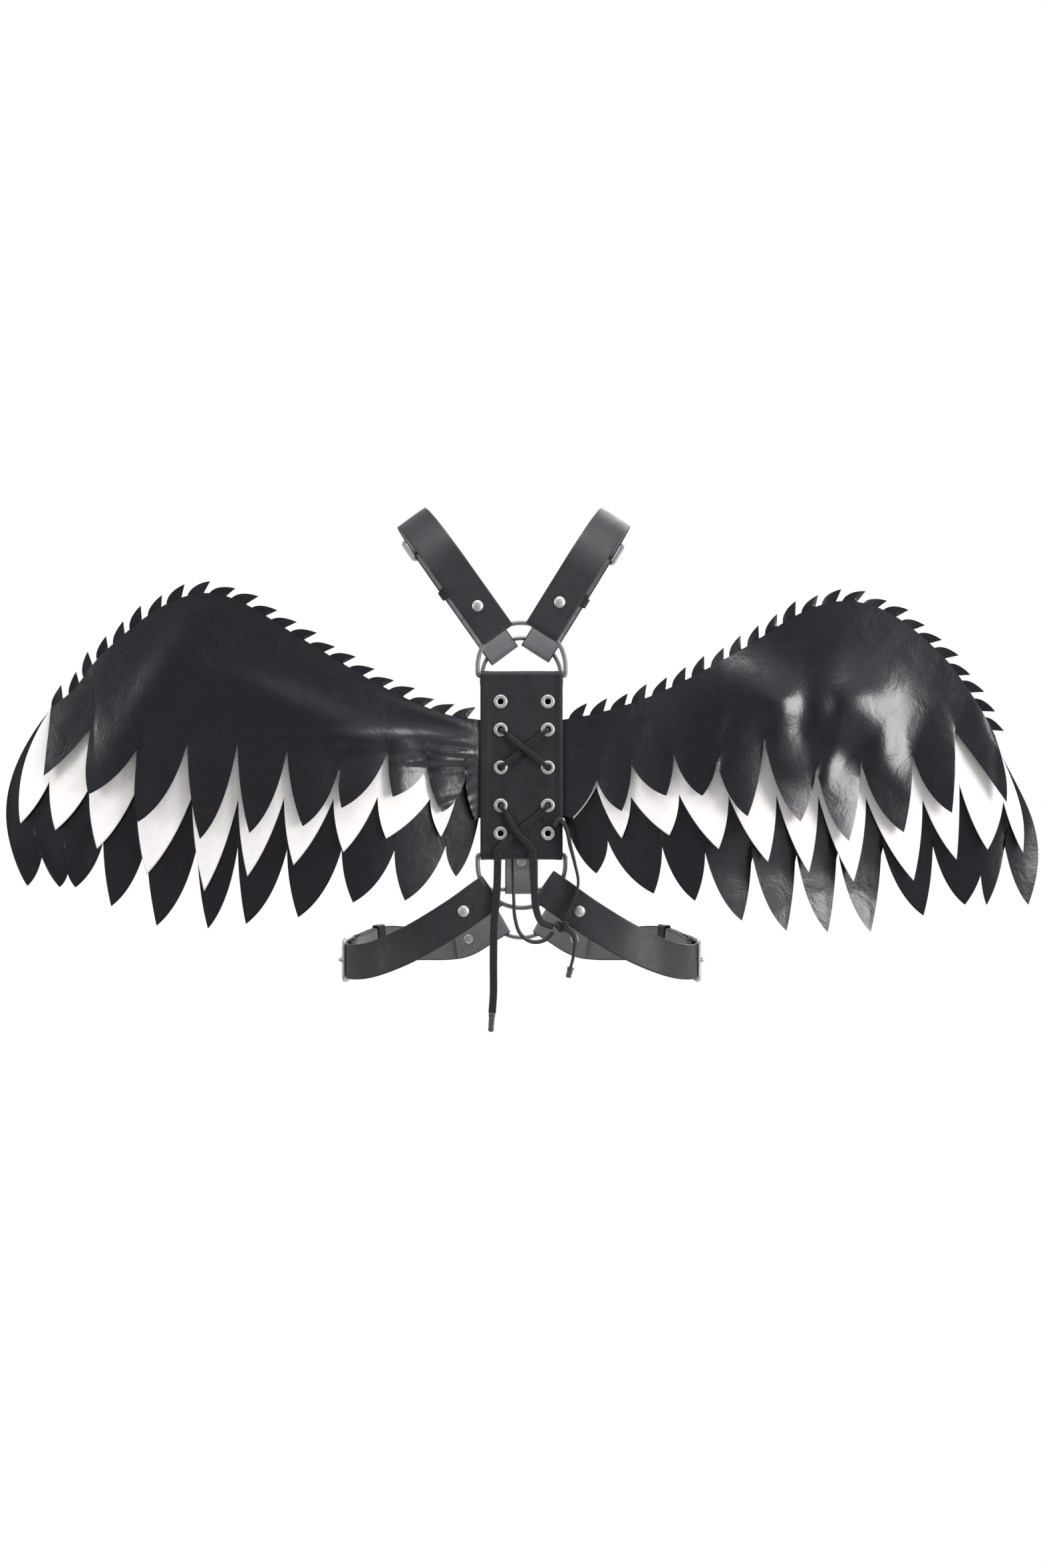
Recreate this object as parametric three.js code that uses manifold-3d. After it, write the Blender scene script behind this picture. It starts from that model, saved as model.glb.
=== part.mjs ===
// Wing harness: a laced back panel with two feathered wings, carried by shoulder and waist straps on D-rings.
// Millimetres. +X is the wearer's right seen from behind, +Y points from the panel to the chest, +Z is up.
// The origin is the centre of the back panel's inner face.
import * as THREE from "three";
import { mergeVertices } from "three/addons/utils/BufferGeometryUtils.js";
import Module from "manifold-3d";

const wasm = await Module();
wasm.setup();

// Driving dimensions
const GAP = 0.3;
const PANEL = { width: 75, height: 172, thick: 2.2, hemLength: 16, hemFlat: 4, seamTuck: 6 };
const EYELET = {
  columns: [-19, 24],
  rows: [58, 32.5, -2, -36.5, -62],
  hole: 5.6,
  barrel: 6.6,
  flange: 12.6,
  rim: 0.9,
  backFlange: 10.8,
  backRim: 0.63,
  sides: 8,
};
const RING = { wire: 4, radius: 40, leg: 8.5, corner: 2.4, sides: 6, arcSteps: 12 };
const STRAP = { width: 33, thick: 2.2, foldEnd: 8, rivetAt: 28, foldTail: 42, layerGap: 0.7 };
// Distances along a folded strap end: where its tail lies flat, where it parts, and where it meets the wire.
const FOLD = { flat: 20, part: 13, partDrop: 2.6, wire: 6, steps: 4 };
const BUCKLE = { wire: 4, sides: 5, length: 30, tail: 62, slack: 0.4, cornerCut: 0.72 };
const PRONG = { thick: 2.4, start: 12, seat: 1.8, tip: 1.2 };
// Distances from a buckle's heel bar: where the strap starts to rise, goes under the frame and over the heel,
// comes down again and lies flat; and how far from a ring's wire a strap lies flat.
const PASS = { rise: 25, frame: 15, heel: 6, pastHeel: 4, down: 20, flat: 32, ring: 14 };
const KEEPER = { at: 50, length: 10, thick: 1.6, slack: 0.9 };
const RIVET = { head: 10.5, dome: 2.6, shoulder: 0.7, sides: 8 };
const TORSO = { depth: 197 };
const STRAP_STEP = 18;
const SHOULDER = { arch: 71, samples: 48, buckleAt: 283 };
// Where each shoulder strap meets its ring's wire, how it leans, and how far it runs straight before it arches.
const SHOULDER_SIDES = {
  left: { wireSpan: 23.7, wireHeight: 122.2, outward: 0.579, upward: 0.8153, straight: 69.6 },
  right: { wireSpan: 20, wireHeight: 124.64, outward: 0.527, upward: 0.8499, straight: 61.8 },
};
const WAIST = { frontRingHeight: -123.5, buckleAt: 0.57 };
const WING = {
  flatUntil: 39,
  bulge: 28,
  tipSet: 6,
  reach: 425,
  bulgeSkew: 0.9,
  chordBulge: 9,
  chordBulgeFrom: 0.25,
  chord: 260,
  whiteClear: 3,
  liftLength: 60,
  liftPower: 1.5,
  bowSharpness: 10,
  bowSkew: 1.3,
};
const GATHER = { full: 62, fadeFrom: 70, fadeTo: 130, pitch: 6 };
// Points of a feather's outline, as shares of the way from notch to tip and from tip to notch.
const FEATHER = { innerSpan: 0.28, innerHeight: 0.6, outerSpan: 0.62, outerHeight: 0.5, notchShift: 0.23 };
const SPIKE = { height: 10, inset: 8, lean: 0.42, start: 4, samples: 40 };
const LACE = { thick: 3.4, sides: 7, laidSides: 6, stepDiameters: 2.4 };
const AGLET = { thick: 4.2, sides: 8, left: 17, right: 9 };

// One row for each stretch of a leading edge: how far out from the middle, and how high.
const LEADING_EDGE = {
  left: [
    { span: 31.5, height: 40.5 },
    { span: 72, height: 47.4 },
    { span: 126, height: 71.4 },
    { span: 198, height: 114 },
    { span: 252, height: 146.4 },
    { span: 285, height: 154 },
    { span: 324, height: 141.6 },
    { span: 378, height: 100 },
    { span: 405, height: 68 },
    { span: 426, height: 52 },
  ],
  right: [
    { span: 31.5, height: 40.5 },
    { span: 72, height: 48 },
    { span: 126, height: 66 },
    { span: 198, height: 104 },
    { span: 252, height: 137 },
    { span: 292, height: 147 },
    { span: 333, height: 135 },
    { span: 378, height: 98 },
    { span: 405, height: 61 },
    { span: 424, height: 26 },
  ],
};

// One row for each feather, from the panel outwards: where its tip is.
const FEATHER_TIPS = {
  left: {
    covert: [
      { span: 42, height: -50 },
      { span: 71.7, height: -42.6 },
      { span: 115.2, height: -28.5 },
      { span: 160.2, height: -38.4 },
      { span: 194.7, height: -54.6 },
      { span: 241.8, height: -60.6 },
      { span: 286.2, height: -66 },
      { span: 341.7, height: -51 },
      { span: 387.3, height: -26.4 },
      { span: 430.2, height: -9.6 },
    ],
    white: [
      { span: 72.9, height: -64.8 },
      { span: 121.5, height: -66 },
      { span: 159.3, height: -78 },
      { span: 203.7, height: -89.4 },
      { span: 245.1, height: -99.6 },
      { span: 284.1, height: -112.8 },
      { span: 336.3, height: -98.4 },
      { span: 380.7, height: -75 },
      { span: 419.7, height: -58.5 },
      { span: 452.7, height: -52.5 },
    ],
    flight: [
      { span: 59.7, height: -101.4 },
      { span: 105.3, height: -122.4 },
      { span: 151.5, height: -123.6 },
      { span: 200.7, height: -136.8 },
      { span: 247.5, height: -142.8 },
      { span: 281.7, height: -147 },
      { span: 328.5, height: -144.6 },
      { span: 369.9, height: -127.2 },
      { span: 402.9, height: -110.4 },
      { span: 418.5, height: -110.4 },
      { span: 447.3, height: -109.2 },
    ],
  },
  right: {
    covert: [
      { span: 45.9, height: -48 },
      { span: 90.3, height: -41.4 },
      { span: 129.3, height: -27.6 },
      { span: 160.8, height: -27.6 },
      { span: 200.4, height: -45.6 },
      { span: 247.8, height: -50.4 },
      { span: 291.3, height: -67.5 },
      { span: 340.8, height: -60 },
      { span: 382.8, height: -42.6 },
      { span: 430.8, height: -33 },
    ],
    white: [
      { span: 90.3, height: -66 },
      { span: 132.3, height: -63 },
      { span: 175.8, height: -75 },
      { span: 219.9, height: -86.4 },
      { span: 256.8, height: -96 },
      { span: 297.3, height: -104.4 },
      { span: 351.3, height: -103.5 },
      { span: 388.8, height: -84.6 },
      { span: 415.8, height: -75.6 },
      { span: 447.3, height: -78 },
    ],
    flight: [
      { span: 68.1, height: -98.4 },
      { span: 119.1, height: -115.8 },
      { span: 155.7, height: -121.8 },
      { span: 198.9, height: -140.4 },
      { span: 239.1, height: -149.4 },
      { span: 276.3, height: -150.6 },
      { span: 315.3, height: -150.6 },
      { span: 362.1, height: -135.6 },
      { span: 398.1, height: -125.4 },
      { span: 417.3, height: -125.4 },
      { span: 455.7, height: -125.4 },
    ],
  },
};

// One row for each feather tier: how deep the notches are cut, where the sheet starts, and how it stands.
const TIERS = {
  covert: { notch: 0.65, start: 0, rows: 4, offset: 0, thick: 1.4, lift: 4, sideBow: 0, root: -46 },
  white: { notch: 0.7, start: 0.4, rows: 3, offset: 2.7, thick: 1.2, lift: 2.4, sideBow: 8, root: -44 },
  flight: { notch: 0.77, start: 0, rows: 4, offset: 5.8, thick: 1.4, lift: 1, sideBow: 29, root: -48 },
};
const WING_ENDS = { left: { side: -1, spikes: 22, gather: 2.2 }, right: { side: 1, spikes: 24, gather: 1.2 } };

// Materials
const LOOKS = {
  panel_leather: { color: 0x2b2b30, roughness: 0.75, metalness: 0 },
  strap_leather: { color: 0x3c3c42, roughness: 0.6, metalness: 0 },
  wing_leather: { color: 0x1c1c22, roughness: 0.35, metalness: 0 },
  white_leather: { color: 0xece8e6, roughness: 0.6, metalness: 0 },
  nickel: { color: 0xb9b9bd, roughness: 0.3, metalness: 1 },
  lace_cord: { color: 0x141416, roughness: 0.9, metalness: 0 },
};
const materials = Object.fromEntries(
  Object.entries(LOOKS).map(([name, look]) => [name, new THREE.MeshStandardMaterial({ name, ...look })]),
);

const harness = new THREE.Group();
harness.name = "wing_harness";

function place(name, geometry, look, parent = harness) {
  const mesh = new THREE.Mesh(geometry, materials[look]);
  mesh.name = name;
  parent.add(mesh);
  return mesh;
}

// Geometry helpers

// A closed triangle mesh from points and triangles, turned so that its faces point out.
function closedMesh(points, triangles) {
  const signed = ([a, b, c]) => points[a].dot(points[b].clone().cross(points[c]));
  const volume = triangles.reduce((sum, triangle) => sum + signed(triangle), 0);
  const index = triangles.flatMap(([a, b, c]) => (volume < 0 ? [a, c, b] : [a, b, c]));
  const geometry = new THREE.BufferGeometry().setFromPoints(points);
  geometry.setIndex(index);
  return geometry;
}

// Joins sections of equally many points with quads; a closed sweep joins the last to the first, an open one is
// capped. The two faces of a four-sided band are cut along parallel diagonals, so that it keeps its thickness
// where it twists.
function sweepSections(sections, closed) {
  const sides = sections[0].length;
  const triangles = [];
  const joints = closed ? sections.length : sections.length - 1;
  for (let i = 0; i < joints; i += 1) {
    const next = (i + 1) % sections.length;
    for (let j = 0; j < sides; j += 1) {
      const k = (j + 1) % sides;
      const [a, b, c, d] = [i * sides + j, i * sides + k, next * sides + k, next * sides + j];
      if (sides === 4 && j === 2) triangles.push([a, b, d], [b, c, d]);
      else triangles.push([a, b, c], [a, c, d]);
    }
  }
  if (!closed) {
    const last = (sections.length - 1) * sides;
    for (let j = 1; j < sides - 1; j += 1) {
      triangles.push([0, j + 1, j]);
      triangles.push([last, last + j, last + j + 1]);
    }
  }
  return closedMesh(sections.flat(), triangles);
}

// A round wire along points; each section stands square to the path, turned as little as it can be.
function wireGeometry(points, diameter, sides, closed) {
  const count = points.length;
  const at = (i) => points[closed ? (i + count) % count : Math.min(Math.max(i, 0), count - 1)];
  let across = new THREE.Vector3();
  const sections = points.map((point, i) => {
    const tangent = at(i + 1).clone().sub(at(i - 1)).normalize();
    if (i === 0) {
      across.set(0, 1, 0);
      if (Math.abs(tangent.y) > 0.9) across.set(1, 0, 0);
    }
    across = across.clone().addScaledVector(tangent, -across.dot(tangent)).normalize();
    const up = tangent.clone().cross(across);
    return Array.from({ length: sides }, (_, j) => {
      const angle = (2 * Math.PI * (j + 0.5)) / sides;
      return point
        .clone()
        .addScaledVector(across, (Math.cos(angle) * diameter) / 2)
        .addScaledVector(up, (Math.sin(angle) * diameter) / 2);
    });
  });
  return sweepSections(sections, closed);
}

// A sheet with its front given by point(column, row); its back is the front moved by thick along +Y.
function sheetGeometry(columns, rows, point, thick) {
  const front = [];
  for (let i = 0; i <= columns; i += 1) {
    for (let j = 0; j <= rows; j += 1) front.push(point(i, j));
  }
  const back = front.map((p) => p.clone().add(new THREE.Vector3(0, thick, 0)));
  const id = (i, j) => i * (rows + 1) + j;
  const shift = front.length;
  const triangles = [];
  for (let i = 0; i < columns; i += 1) {
    for (let j = 0; j < rows; j += 1) {
      const [a, b, c, d] = [id(i, j), id(i + 1, j), id(i + 1, j + 1), id(i, j + 1)];
      triangles.push([a, b, c], [a, c, d]);
      triangles.push([shift + a, shift + c, shift + b], [shift + a, shift + d, shift + c]);
    }
  }
  const rim = [];
  for (let i = 0; i < columns; i += 1) rim.push([id(i, 0), id(i + 1, 0)], [id(i + 1, rows), id(i, rows)]);
  for (let j = 0; j < rows; j += 1) rim.push([id(0, j + 1), id(0, j)], [id(columns, j), id(columns, j + 1)]);
  for (const [a, b] of rim) triangles.push([a, shift + b, b], [a, shift + a, shift + b]);
  return closedMesh([...front, ...back], triangles);
}

function toSolid(geometry) {
  const bare = geometry.clone();
  bare.deleteAttribute("normal");
  bare.deleteAttribute("uv");
  const merged = mergeVertices(bare, 1e-4);
  const mesh = new wasm.Mesh({
    numProp: 3,
    vertProperties: new Float32Array(merged.attributes.position.array),
    triVerts: new Uint32Array(merged.index.array),
  });
  return new wasm.Manifold(mesh);
}

function toGeometry(solid) {
  const mesh = solid.getMesh();
  const geometry = new THREE.BufferGeometry();
  geometry.setAttribute("position", new THREE.BufferAttribute(new Float32Array(mesh.vertProperties), 3));
  geometry.setIndex([...mesh.triVerts]);
  return geometry;
}

// Value at x of a smooth curve through table rows, with the slopes of a Catmull-Rom spline.
function smoothAt(rows, x) {
  const last = rows.length - 1;
  if (x <= rows[0].span) return rows[0].height;
  if (x >= rows[last].span) return rows[last].height;
  const k = rows.slice(1).findIndex((row) => x <= row.span);
  const slope = (i) => {
    const [a, b] = [rows[Math.max(i - 1, 0)], rows[Math.min(i + 1, last)]];
    return (b.height - a.height) / (b.span - a.span);
  };
  const width = rows[k + 1].span - rows[k].span;
  const t = (x - rows[k].span) / width;
  const [t2, t3] = [t * t, t * t * t];
  return (
    rows[k].height * (2 * t3 - 3 * t2 + 1) +
    slope(k) * width * (t3 - 2 * t2 + t) +
    rows[k + 1].height * (3 * t2 - 2 * t3) +
    slope(k + 1) * width * (t3 - t2)
  );
}

const clamp01 = (value) => Math.min(Math.max(value, 0), 1);
const smoothStep = (a, b, x) => THREE.MathUtils.smoothstep(x, a, b);

// Straps

// The mid surface of a strap's outer layer: a path with an outward normal, run on straight past both ends.
class StrapRun {
  constructor(curve, normalAt, side) {
    this.curve = curve;
    this.normalAt = normalAt;
    this.side = side;
    this.length = curve.getLength();
  }

  // The point `along` the run, moved `out` along the outward normal, on the run's own side of the body.
  point(along, out) {
    const share = clamp01(along / this.length);
    const tangent = this.curve.getTangentAt(share);
    const p = this.curve.getPointAt(share).addScaledVector(tangent, along - share * this.length);
    p.addScaledVector(this.normalAt(tangent), out);
    p.x *= this.side;
    return p;
  }

  // The strap's width direction there.
  across(along) {
    const tangent = this.curve.getTangentAt(clamp01(along / this.length));
    const w = this.normalAt(tangent).cross(tangent).normalize();
    w.x *= this.side;
    return w;
  }

  outward(along) {
    const n = this.normalAt(this.curve.getTangentAt(clamp01(along / this.length)));
    n.x *= this.side;
    return n;
  }
}

// A band along a list of [along, out] places on a run.
function bandGeometry(run, places, width, thick) {
  const centres = places.map(([along, out]) => run.point(along, out));
  const sections = centres.map((centre, i) => {
    const w = run.across(places[i][0]);
    const tangent = centres[Math.min(i + 1, centres.length - 1)].clone().sub(centres[Math.max(i - 1, 0)]);
    const n = tangent.cross(w).normalize();
    return [
      [-1, -1],
      [1, -1],
      [1, 1],
      [-1, 1],
    ].map(([a, b]) => centre.clone().addScaledVector(w, (a * width) / 2).addScaledVector(n, (b * thick) / 2));
  });
  return sweepSections(sections, false);
}

const WIRE_DROP = RING.wire / 2 + GAP + STRAP.thick / 2;
const HEEL_DROP = WIRE_DROP + BUCKLE.slack;
const LAYER = STRAP.thick + STRAP.layerGap;

// The end of a strap folded inwards round a wire: from the tail's end, round the fold, to the outer layer.
function foldPlaces(foldCentre) {
  const places = [
    [STRAP.foldTail, -LAYER],
    [FOLD.flat, -LAYER],
    [FOLD.part, -LAYER - FOLD.partDrop],
    [FOLD.wire, -2 * WIRE_DROP],
  ];
  for (let k = 0; k <= FOLD.steps; k += 1) {
    const angle = (Math.PI * k) / FOLD.steps;
    places.push([-foldCentre - WIRE_DROP * Math.sin(angle), -WIRE_DROP - WIRE_DROP * Math.cos(angle)]);
  }
  return places;
}

const mirrorPlaces = (places, length) => places.map(([along, out]) => [length - along, out]).reverse();

function spacedPlaces(from, to, step, out = 0) {
  const count = Math.max(1, Math.round((to - from) / step));
  return Array.from({ length: count + 1 }, (_, k) => [from + ((to - from) * k) / count, out]);
}

// The long piece: folded on the back ring, through the buckle, its tail over the front piece.
function longPiece(buckle) {
  return [
    ...foldPlaces(STRAP.foldEnd),
    ...spacedPlaces(PASS.ring, buckle - PASS.rise, STRAP_STEP),
    [buckle - PASS.frame, HEEL_DROP],
    [buckle - PASS.heel, HEEL_DROP + LAYER],
    [buckle + PASS.pastHeel, HEEL_DROP + LAYER],
    [buckle + PASS.down, LAYER],
    ...spacedPlaces(buckle + PASS.flat, buckle + BUCKLE.tail, STRAP_STEP, LAYER),
  ];
}

// The short piece: folded on the buckle's heel bar and on the front ring.
function shortPiece(length, buckle) {
  const heel = [
    [buckle + STRAP.foldTail, -LAYER],
    [buckle + PASS.down, -LAYER],
  ];
  for (let k = 0; k <= FOLD.steps; k += 1) {
    const angle = (Math.PI * k) / FOLD.steps;
    heel.push([buckle - HEEL_DROP * Math.sin(angle), -HEEL_DROP * Math.cos(angle)]);
  }
  heel.push([buckle + PASS.pastHeel, HEEL_DROP]);
  return [
    ...heel,
    ...spacedPlaces(buckle + PASS.down, length - PASS.ring, STRAP_STEP),
    ...mirrorPlaces(foldPlaces(STRAP.foldEnd), length),
  ];
}

// A heel-bar buckle: a wire frame round the strap, with the prong lying on the far bar.
function buckleGeometry(run, buckle) {
  const half = STRAP.width / 2 + 2 * GAP + BUCKLE.wire / 2;
  const ends = [
    { along: buckle, centre: run.point(buckle, 0) },
    { along: buckle - BUCKLE.length, centre: run.point(buckle - BUCKLE.length, WIRE_DROP) },
  ];
  const forward = ends[1].centre.clone().sub(ends[0].centre).normalize();
  const frame = [];
  for (const [end, side] of [[0, 1], [1, 1], [1, -1], [0, -1]]) {
    const w = run.across(ends[end].along).multiplyScalar(side);
    const inward = forward.clone().multiplyScalar(end === 0 ? 1 : -1);
    const bend = [
      ends[end].centre.clone().addScaledVector(w, half - RING.corner),
      ends[end].centre
        .clone()
        .addScaledVector(w, half - BUCKLE.cornerCut)
        .addScaledVector(inward, BUCKLE.cornerCut),
      ends[end].centre.clone().addScaledVector(w, half).addScaledVector(inward, RING.corner),
    ];
    frame.push(...((end === 0) === (side === 1) ? bend : bend.reverse()));
  }
  const loop = toSolid(wireGeometry(frame, BUCKLE.wire, BUCKLE.sides, true));
  const n = run.outward(buckle - BUCKLE.length);
  const prong = [
    run.point(buckle - PRONG.start, HEEL_DROP + LAYER + STRAP.thick / 2 + PRONG.thick / 2),
    ends[1].centre.clone().addScaledVector(n, PRONG.seat),
    ends[1].centre.clone().addScaledVector(n, PRONG.tip).addScaledVector(forward, PRONG.thick),
  ];
  return toGeometry(loop.add(toSolid(wireGeometry(prong, PRONG.thick, BUCKLE.sides, false))));
}

// A leather loop round both layers of a fastened strap.
function keeperGeometry(run, along) {
  const { length, thick, slack } = KEEPER;
  const inner = {
    w: STRAP.width / 2 + slack,
    low: -STRAP.thick / 2 - slack,
    high: LAYER + STRAP.thick / 2 + slack,
  };
  const outer = { w: inner.w + thick, low: inner.low - thick, high: inner.high + thick };
  const ends = [along - length / 2, along + length / 2];
  const corner = (size, a, b) => ends.map((end) => {
    const p = run.point(end, b > 0 ? size.high : size.low);
    return p.addScaledVector(run.across(end), a * size.w);
  });
  const sections = [
    [-1, -1],
    [1, -1],
    [1, 1],
    [-1, 1],
  ].map(([a, b]) => {
    const [outStart, outEnd] = corner(outer, a, b);
    const [inStart, inEnd] = corner(inner, a, b);
    return [outStart, outEnd, inEnd, inStart];
  });
  return sweepSections(sections, true);
}

// The domed head of a rivet, on the outer face of a strap.
function addRivet(name, run, along) {
  const head = RIVET.head / 2;
  const start = STRAP.thick / 2 + GAP;
  const stack = [
    [0, start + RIVET.dome],
    [head * RIVET.shoulder, start + RIVET.dome * RIVET.shoulder],
    [head, start],
    [0, start],
  ];
  const profile = stack.map(([r, h]) => new THREE.Vector2(r, h)).reverse();
  const rivet = place(name, new THREE.LatheGeometry(profile, RIVET.sides), "nickel");
  rivet.position.copy(run.point(along, 0));
  rivet.quaternion.setFromUnitVectors(new THREE.Vector3(0, 1, 0), run.outward(along));
}

// D-rings

// Centre line of a D-ring in the XZ plane: bar, rounded corners, legs and a half round, opening up or down.
function ringPoints(barHeight, direction, depth) {
  const at = (x, h) => new THREE.Vector3(x, depth, barHeight + direction * h);
  const points = [];
  for (const side of [-1, 1]) {
    const corner = [0, 1, 2].map((k) => {
      const angle = (Math.PI / 4) * k;
      const x = RING.radius - RING.corner + RING.corner * Math.sin(angle);
      return at(side * x, RING.corner - RING.corner * Math.cos(angle));
    });
    points.push(...(side < 0 ? corner.reverse() : corner));
  }
  for (let k = 0; k <= RING.arcSteps; k += 1) {
    const angle = (Math.PI * k) / RING.arcSteps;
    points.push(at(RING.radius * Math.cos(angle), RING.leg + RING.radius * Math.sin(angle)));
  }
  return points;
}

const addRing = (name, barHeight, direction, depth) =>
  place(name, wireGeometry(ringPoints(barHeight, direction, depth), RING.wire, RING.sides, true), "nickel");

const BAR_HEIGHT = PANEL.height / 2 - PANEL.thick - GAP - RING.wire / 2;
const BACK_RING_Y = GAP + RING.wire / 2;
const STRAP_BACK_Y = BACK_RING_Y - WIRE_DROP;
const STRAP_FRONT_Y = STRAP_BACK_Y + TORSO.depth;
const FRONT_RING_Y = STRAP_FRONT_Y - WIRE_DROP;

addRing("ring_back_top", BAR_HEIGHT, 1, BACK_RING_Y);
addRing("ring_back_bottom", -BAR_HEIGHT, -1, BACK_RING_Y);
addRing("ring_chest", BAR_HEIGHT, 1, FRONT_RING_Y);
addRing("ring_front_waist", WAIST.frontRingHeight, -1, FRONT_RING_Y);

// Back panel and eyelets

// A straight run up the panel's front layer, so that its hems fold as a strap does.
function straightRun(x, y, low, high, normal) {
  const curve = new THREE.LineCurve3(new THREE.Vector3(x, y, low), new THREE.Vector3(x, y, high));
  return new StrapRun(curve, () => normal.clone(), 1);
}

function hemPlaces() {
  return [[PANEL.hemLength, -LAYER], [PANEL.hemLength - PANEL.hemFlat, -LAYER], ...foldPlaces(0).slice(3)];
}

function addPanel() {
  const run = straightRun(0, -PANEL.thick / 2, -BAR_HEIGHT, BAR_HEIGHT, new THREE.Vector3(0, -1, 0));
  const places = [...hemPlaces(), ...mirrorPlaces(hemPlaces(), run.length)];
  let panel = toSolid(bandGeometry(run, places, PANEL.width, PANEL.thick));
  const holeLength = 4 * PANEL.thick;
  const holeRadius = EYELET.barrel / 2 + GAP;
  for (const x of EYELET.columns) {
    for (const z of EYELET.rows) {
      const drill = new THREE.CylinderGeometry(holeRadius, holeRadius, holeLength, EYELET.sides);
      panel = panel.subtract(toSolid(drill.translate(x, -PANEL.thick / 2, z)));
    }
  }
  place("back_panel", toGeometry(panel), "panel_leather");
}
addPanel();

// An eyelet: a barrel through the panel with a rolled rim on both faces, its axis along Y.
function addEyelet(name, x, z) {
  const [hole, barrel, flange] = [EYELET.hole / 2, EYELET.barrel / 2, EYELET.flange / 2];
  const front = -PANEL.thick - GAP;
  const profile = [
    [hole, front - EYELET.rim],
    [hole, GAP + EYELET.backRim],
    [EYELET.backFlange / 2, GAP],
    [barrel, GAP],
    [barrel, front],
    [flange, front],
  ].map(([r, y]) => new THREE.Vector2(r, y));
  profile.push(profile[0].clone());
  const eyelet = place(name, new THREE.LatheGeometry(profile.reverse(), EYELET.sides), "nickel");
  eyelet.position.set(x, 0, z);
}
EYELET.rows.forEach((z, row) => {
  addEyelet(`eyelet_left_${row + 1}`, EYELET.columns[0], z);
  addEyelet(`eyelet_right_${row + 1}`, EYELET.columns[1], z);
});

// Shoulder straps: each lies in an upright plane that leans outwards, straight, then an arch, then straight.
function shoulderRun(label, side) {
  const { wireSpan, wireHeight, outward, upward, straight } = SHOULDER_SIDES[label];
  const path = new THREE.Path();
  path.moveTo(0, STRAP_BACK_Y);
  path.lineTo(straight, STRAP_BACK_Y);
  const middle = (STRAP_BACK_Y + STRAP_FRONT_Y) / 2;
  const quarter = Math.PI / 2;
  path.absellipse(straight, middle, SHOULDER.arch, TORSO.depth / 2, -quarter, quarter, false, 0);
  path.lineTo(0, STRAP_FRONT_Y);
  const lift = new THREE.Vector3(outward, 0, upward);
  const curve = new THREE.CatmullRomCurve3(
    path.getSpacedPoints(SHOULDER.samples).map((p) => {
      const point = new THREE.Vector3(wireSpan, p.y, wireHeight);
      return point.addScaledVector(lift, p.x);
    }),
  );
  const width = new THREE.Vector3(-upward, 0, outward);
  return new StrapRun(curve, (tangent) => tangent.clone().cross(width).normalize(), side);
}

// Waist straps: from the panel's lower ring round the side to the front ring, flattening on the way.
const WAIST_PATH = [
  { x: 30, depth: 0, z: -116.5 },
  { x: 62, depth: 0, z: -139 },
  { x: 100, depth: 0.035, z: -162 },
  { x: 137, depth: 0.15, z: -179 },
  { x: 167, depth: 0.5, z: -186 },
  { x: 137, depth: 0.85, z: -175 },
  { x: 100, depth: 0.965, z: -178 },
  { x: 60, depth: 1, z: -176 },
  { x: 30, depth: 1, z: -158.5 },
];

function waistRun(side) {
  const curve = new THREE.CatmullRomCurve3(
    WAIST_PATH.map(({ x, depth, z }) => new THREE.Vector3(x, STRAP_BACK_Y + depth * TORSO.depth, z)),
    false,
    "centripetal",
  );
  return new StrapRun(curve, (t) => new THREE.Vector3(t.y, -t.x, 0).normalize(), side);
}

function addStrapPair(name, run, buckle) {
  const { width, thick } = STRAP;
  place(`${name}_back`, bandGeometry(run, longPiece(buckle), width, thick), "strap_leather");
  place(`${name}_front`, bandGeometry(run, shortPiece(run.length, buckle), width, thick), "strap_leather");
  place(`buckle_${name}`, buckleGeometry(run, buckle), "nickel");
  place(`keeper_${name}`, keeperGeometry(run, buckle + KEEPER.at), "strap_leather");
  addRivet(`rivet_${name}_back`, run, STRAP.rivetAt);
  addRivet(`rivet_${name}_front`, run, run.length - STRAP.rivetAt);
}
for (const [label, side] of [
  ["left", -1],
  ["right", 1],
]) {
  addStrapPair(`shoulder_${label}`, shoulderRun(label, side), SHOULDER.buckleAt);
  const waist = waistRun(side);
  addStrapPair(`waist_${label}`, waist, waist.length * WAIST.buckleAt);
}

function addFrontStrap() {
  const run = straightRun(0, STRAP_FRONT_Y, WAIST.frontRingHeight, BAR_HEIGHT, new THREE.Vector3(0, 1, 0));
  const places = [...foldPlaces(0), ...mirrorPlaces(foldPlaces(0), run.length)];
  place("front_strap", bandGeometry(run, places, STRAP.width, STRAP.thick), "strap_leather");
  addRivet("rivet_front_strap_low", run, STRAP.rivetAt);
  addRivet("rivet_front_strap_high", run, run.length - STRAP.rivetAt);
}
addFrontStrap();

// Wings

// How far forward or back a wing's front face is, before the layers are told apart.
function wingDepth(label, span, height) {
  const t = clamp01((span - WING.flatUntil) / WING.reach);
  const lead = smoothAt(LEADING_EDGE[label], span);
  const down = clamp01((lead - height) / WING.chord);
  const sweep = WING.bulge * Math.sin(Math.PI * t ** WING.bulgeSkew) + WING.tipSet * t;
  const belly = WING.chordBulge * Math.sin(Math.PI * down) * smoothStep(0, WING.chordBulgeFrom, t);
  return GAP - sweep - belly;
}

// The forward swell of the covert's gathers beside the panel.
function gatherAt(label, span, height) {
  const rise = smoothStep(WING.flatUntil, GATHER.full, span);
  const fade = 1 - smoothStep(GATHER.fadeFrom, GATHER.fadeTo, span);
  return WING_ENDS[label].gather * rise * fade * (1 + Math.sin(height / GATHER.pitch));
}

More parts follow.
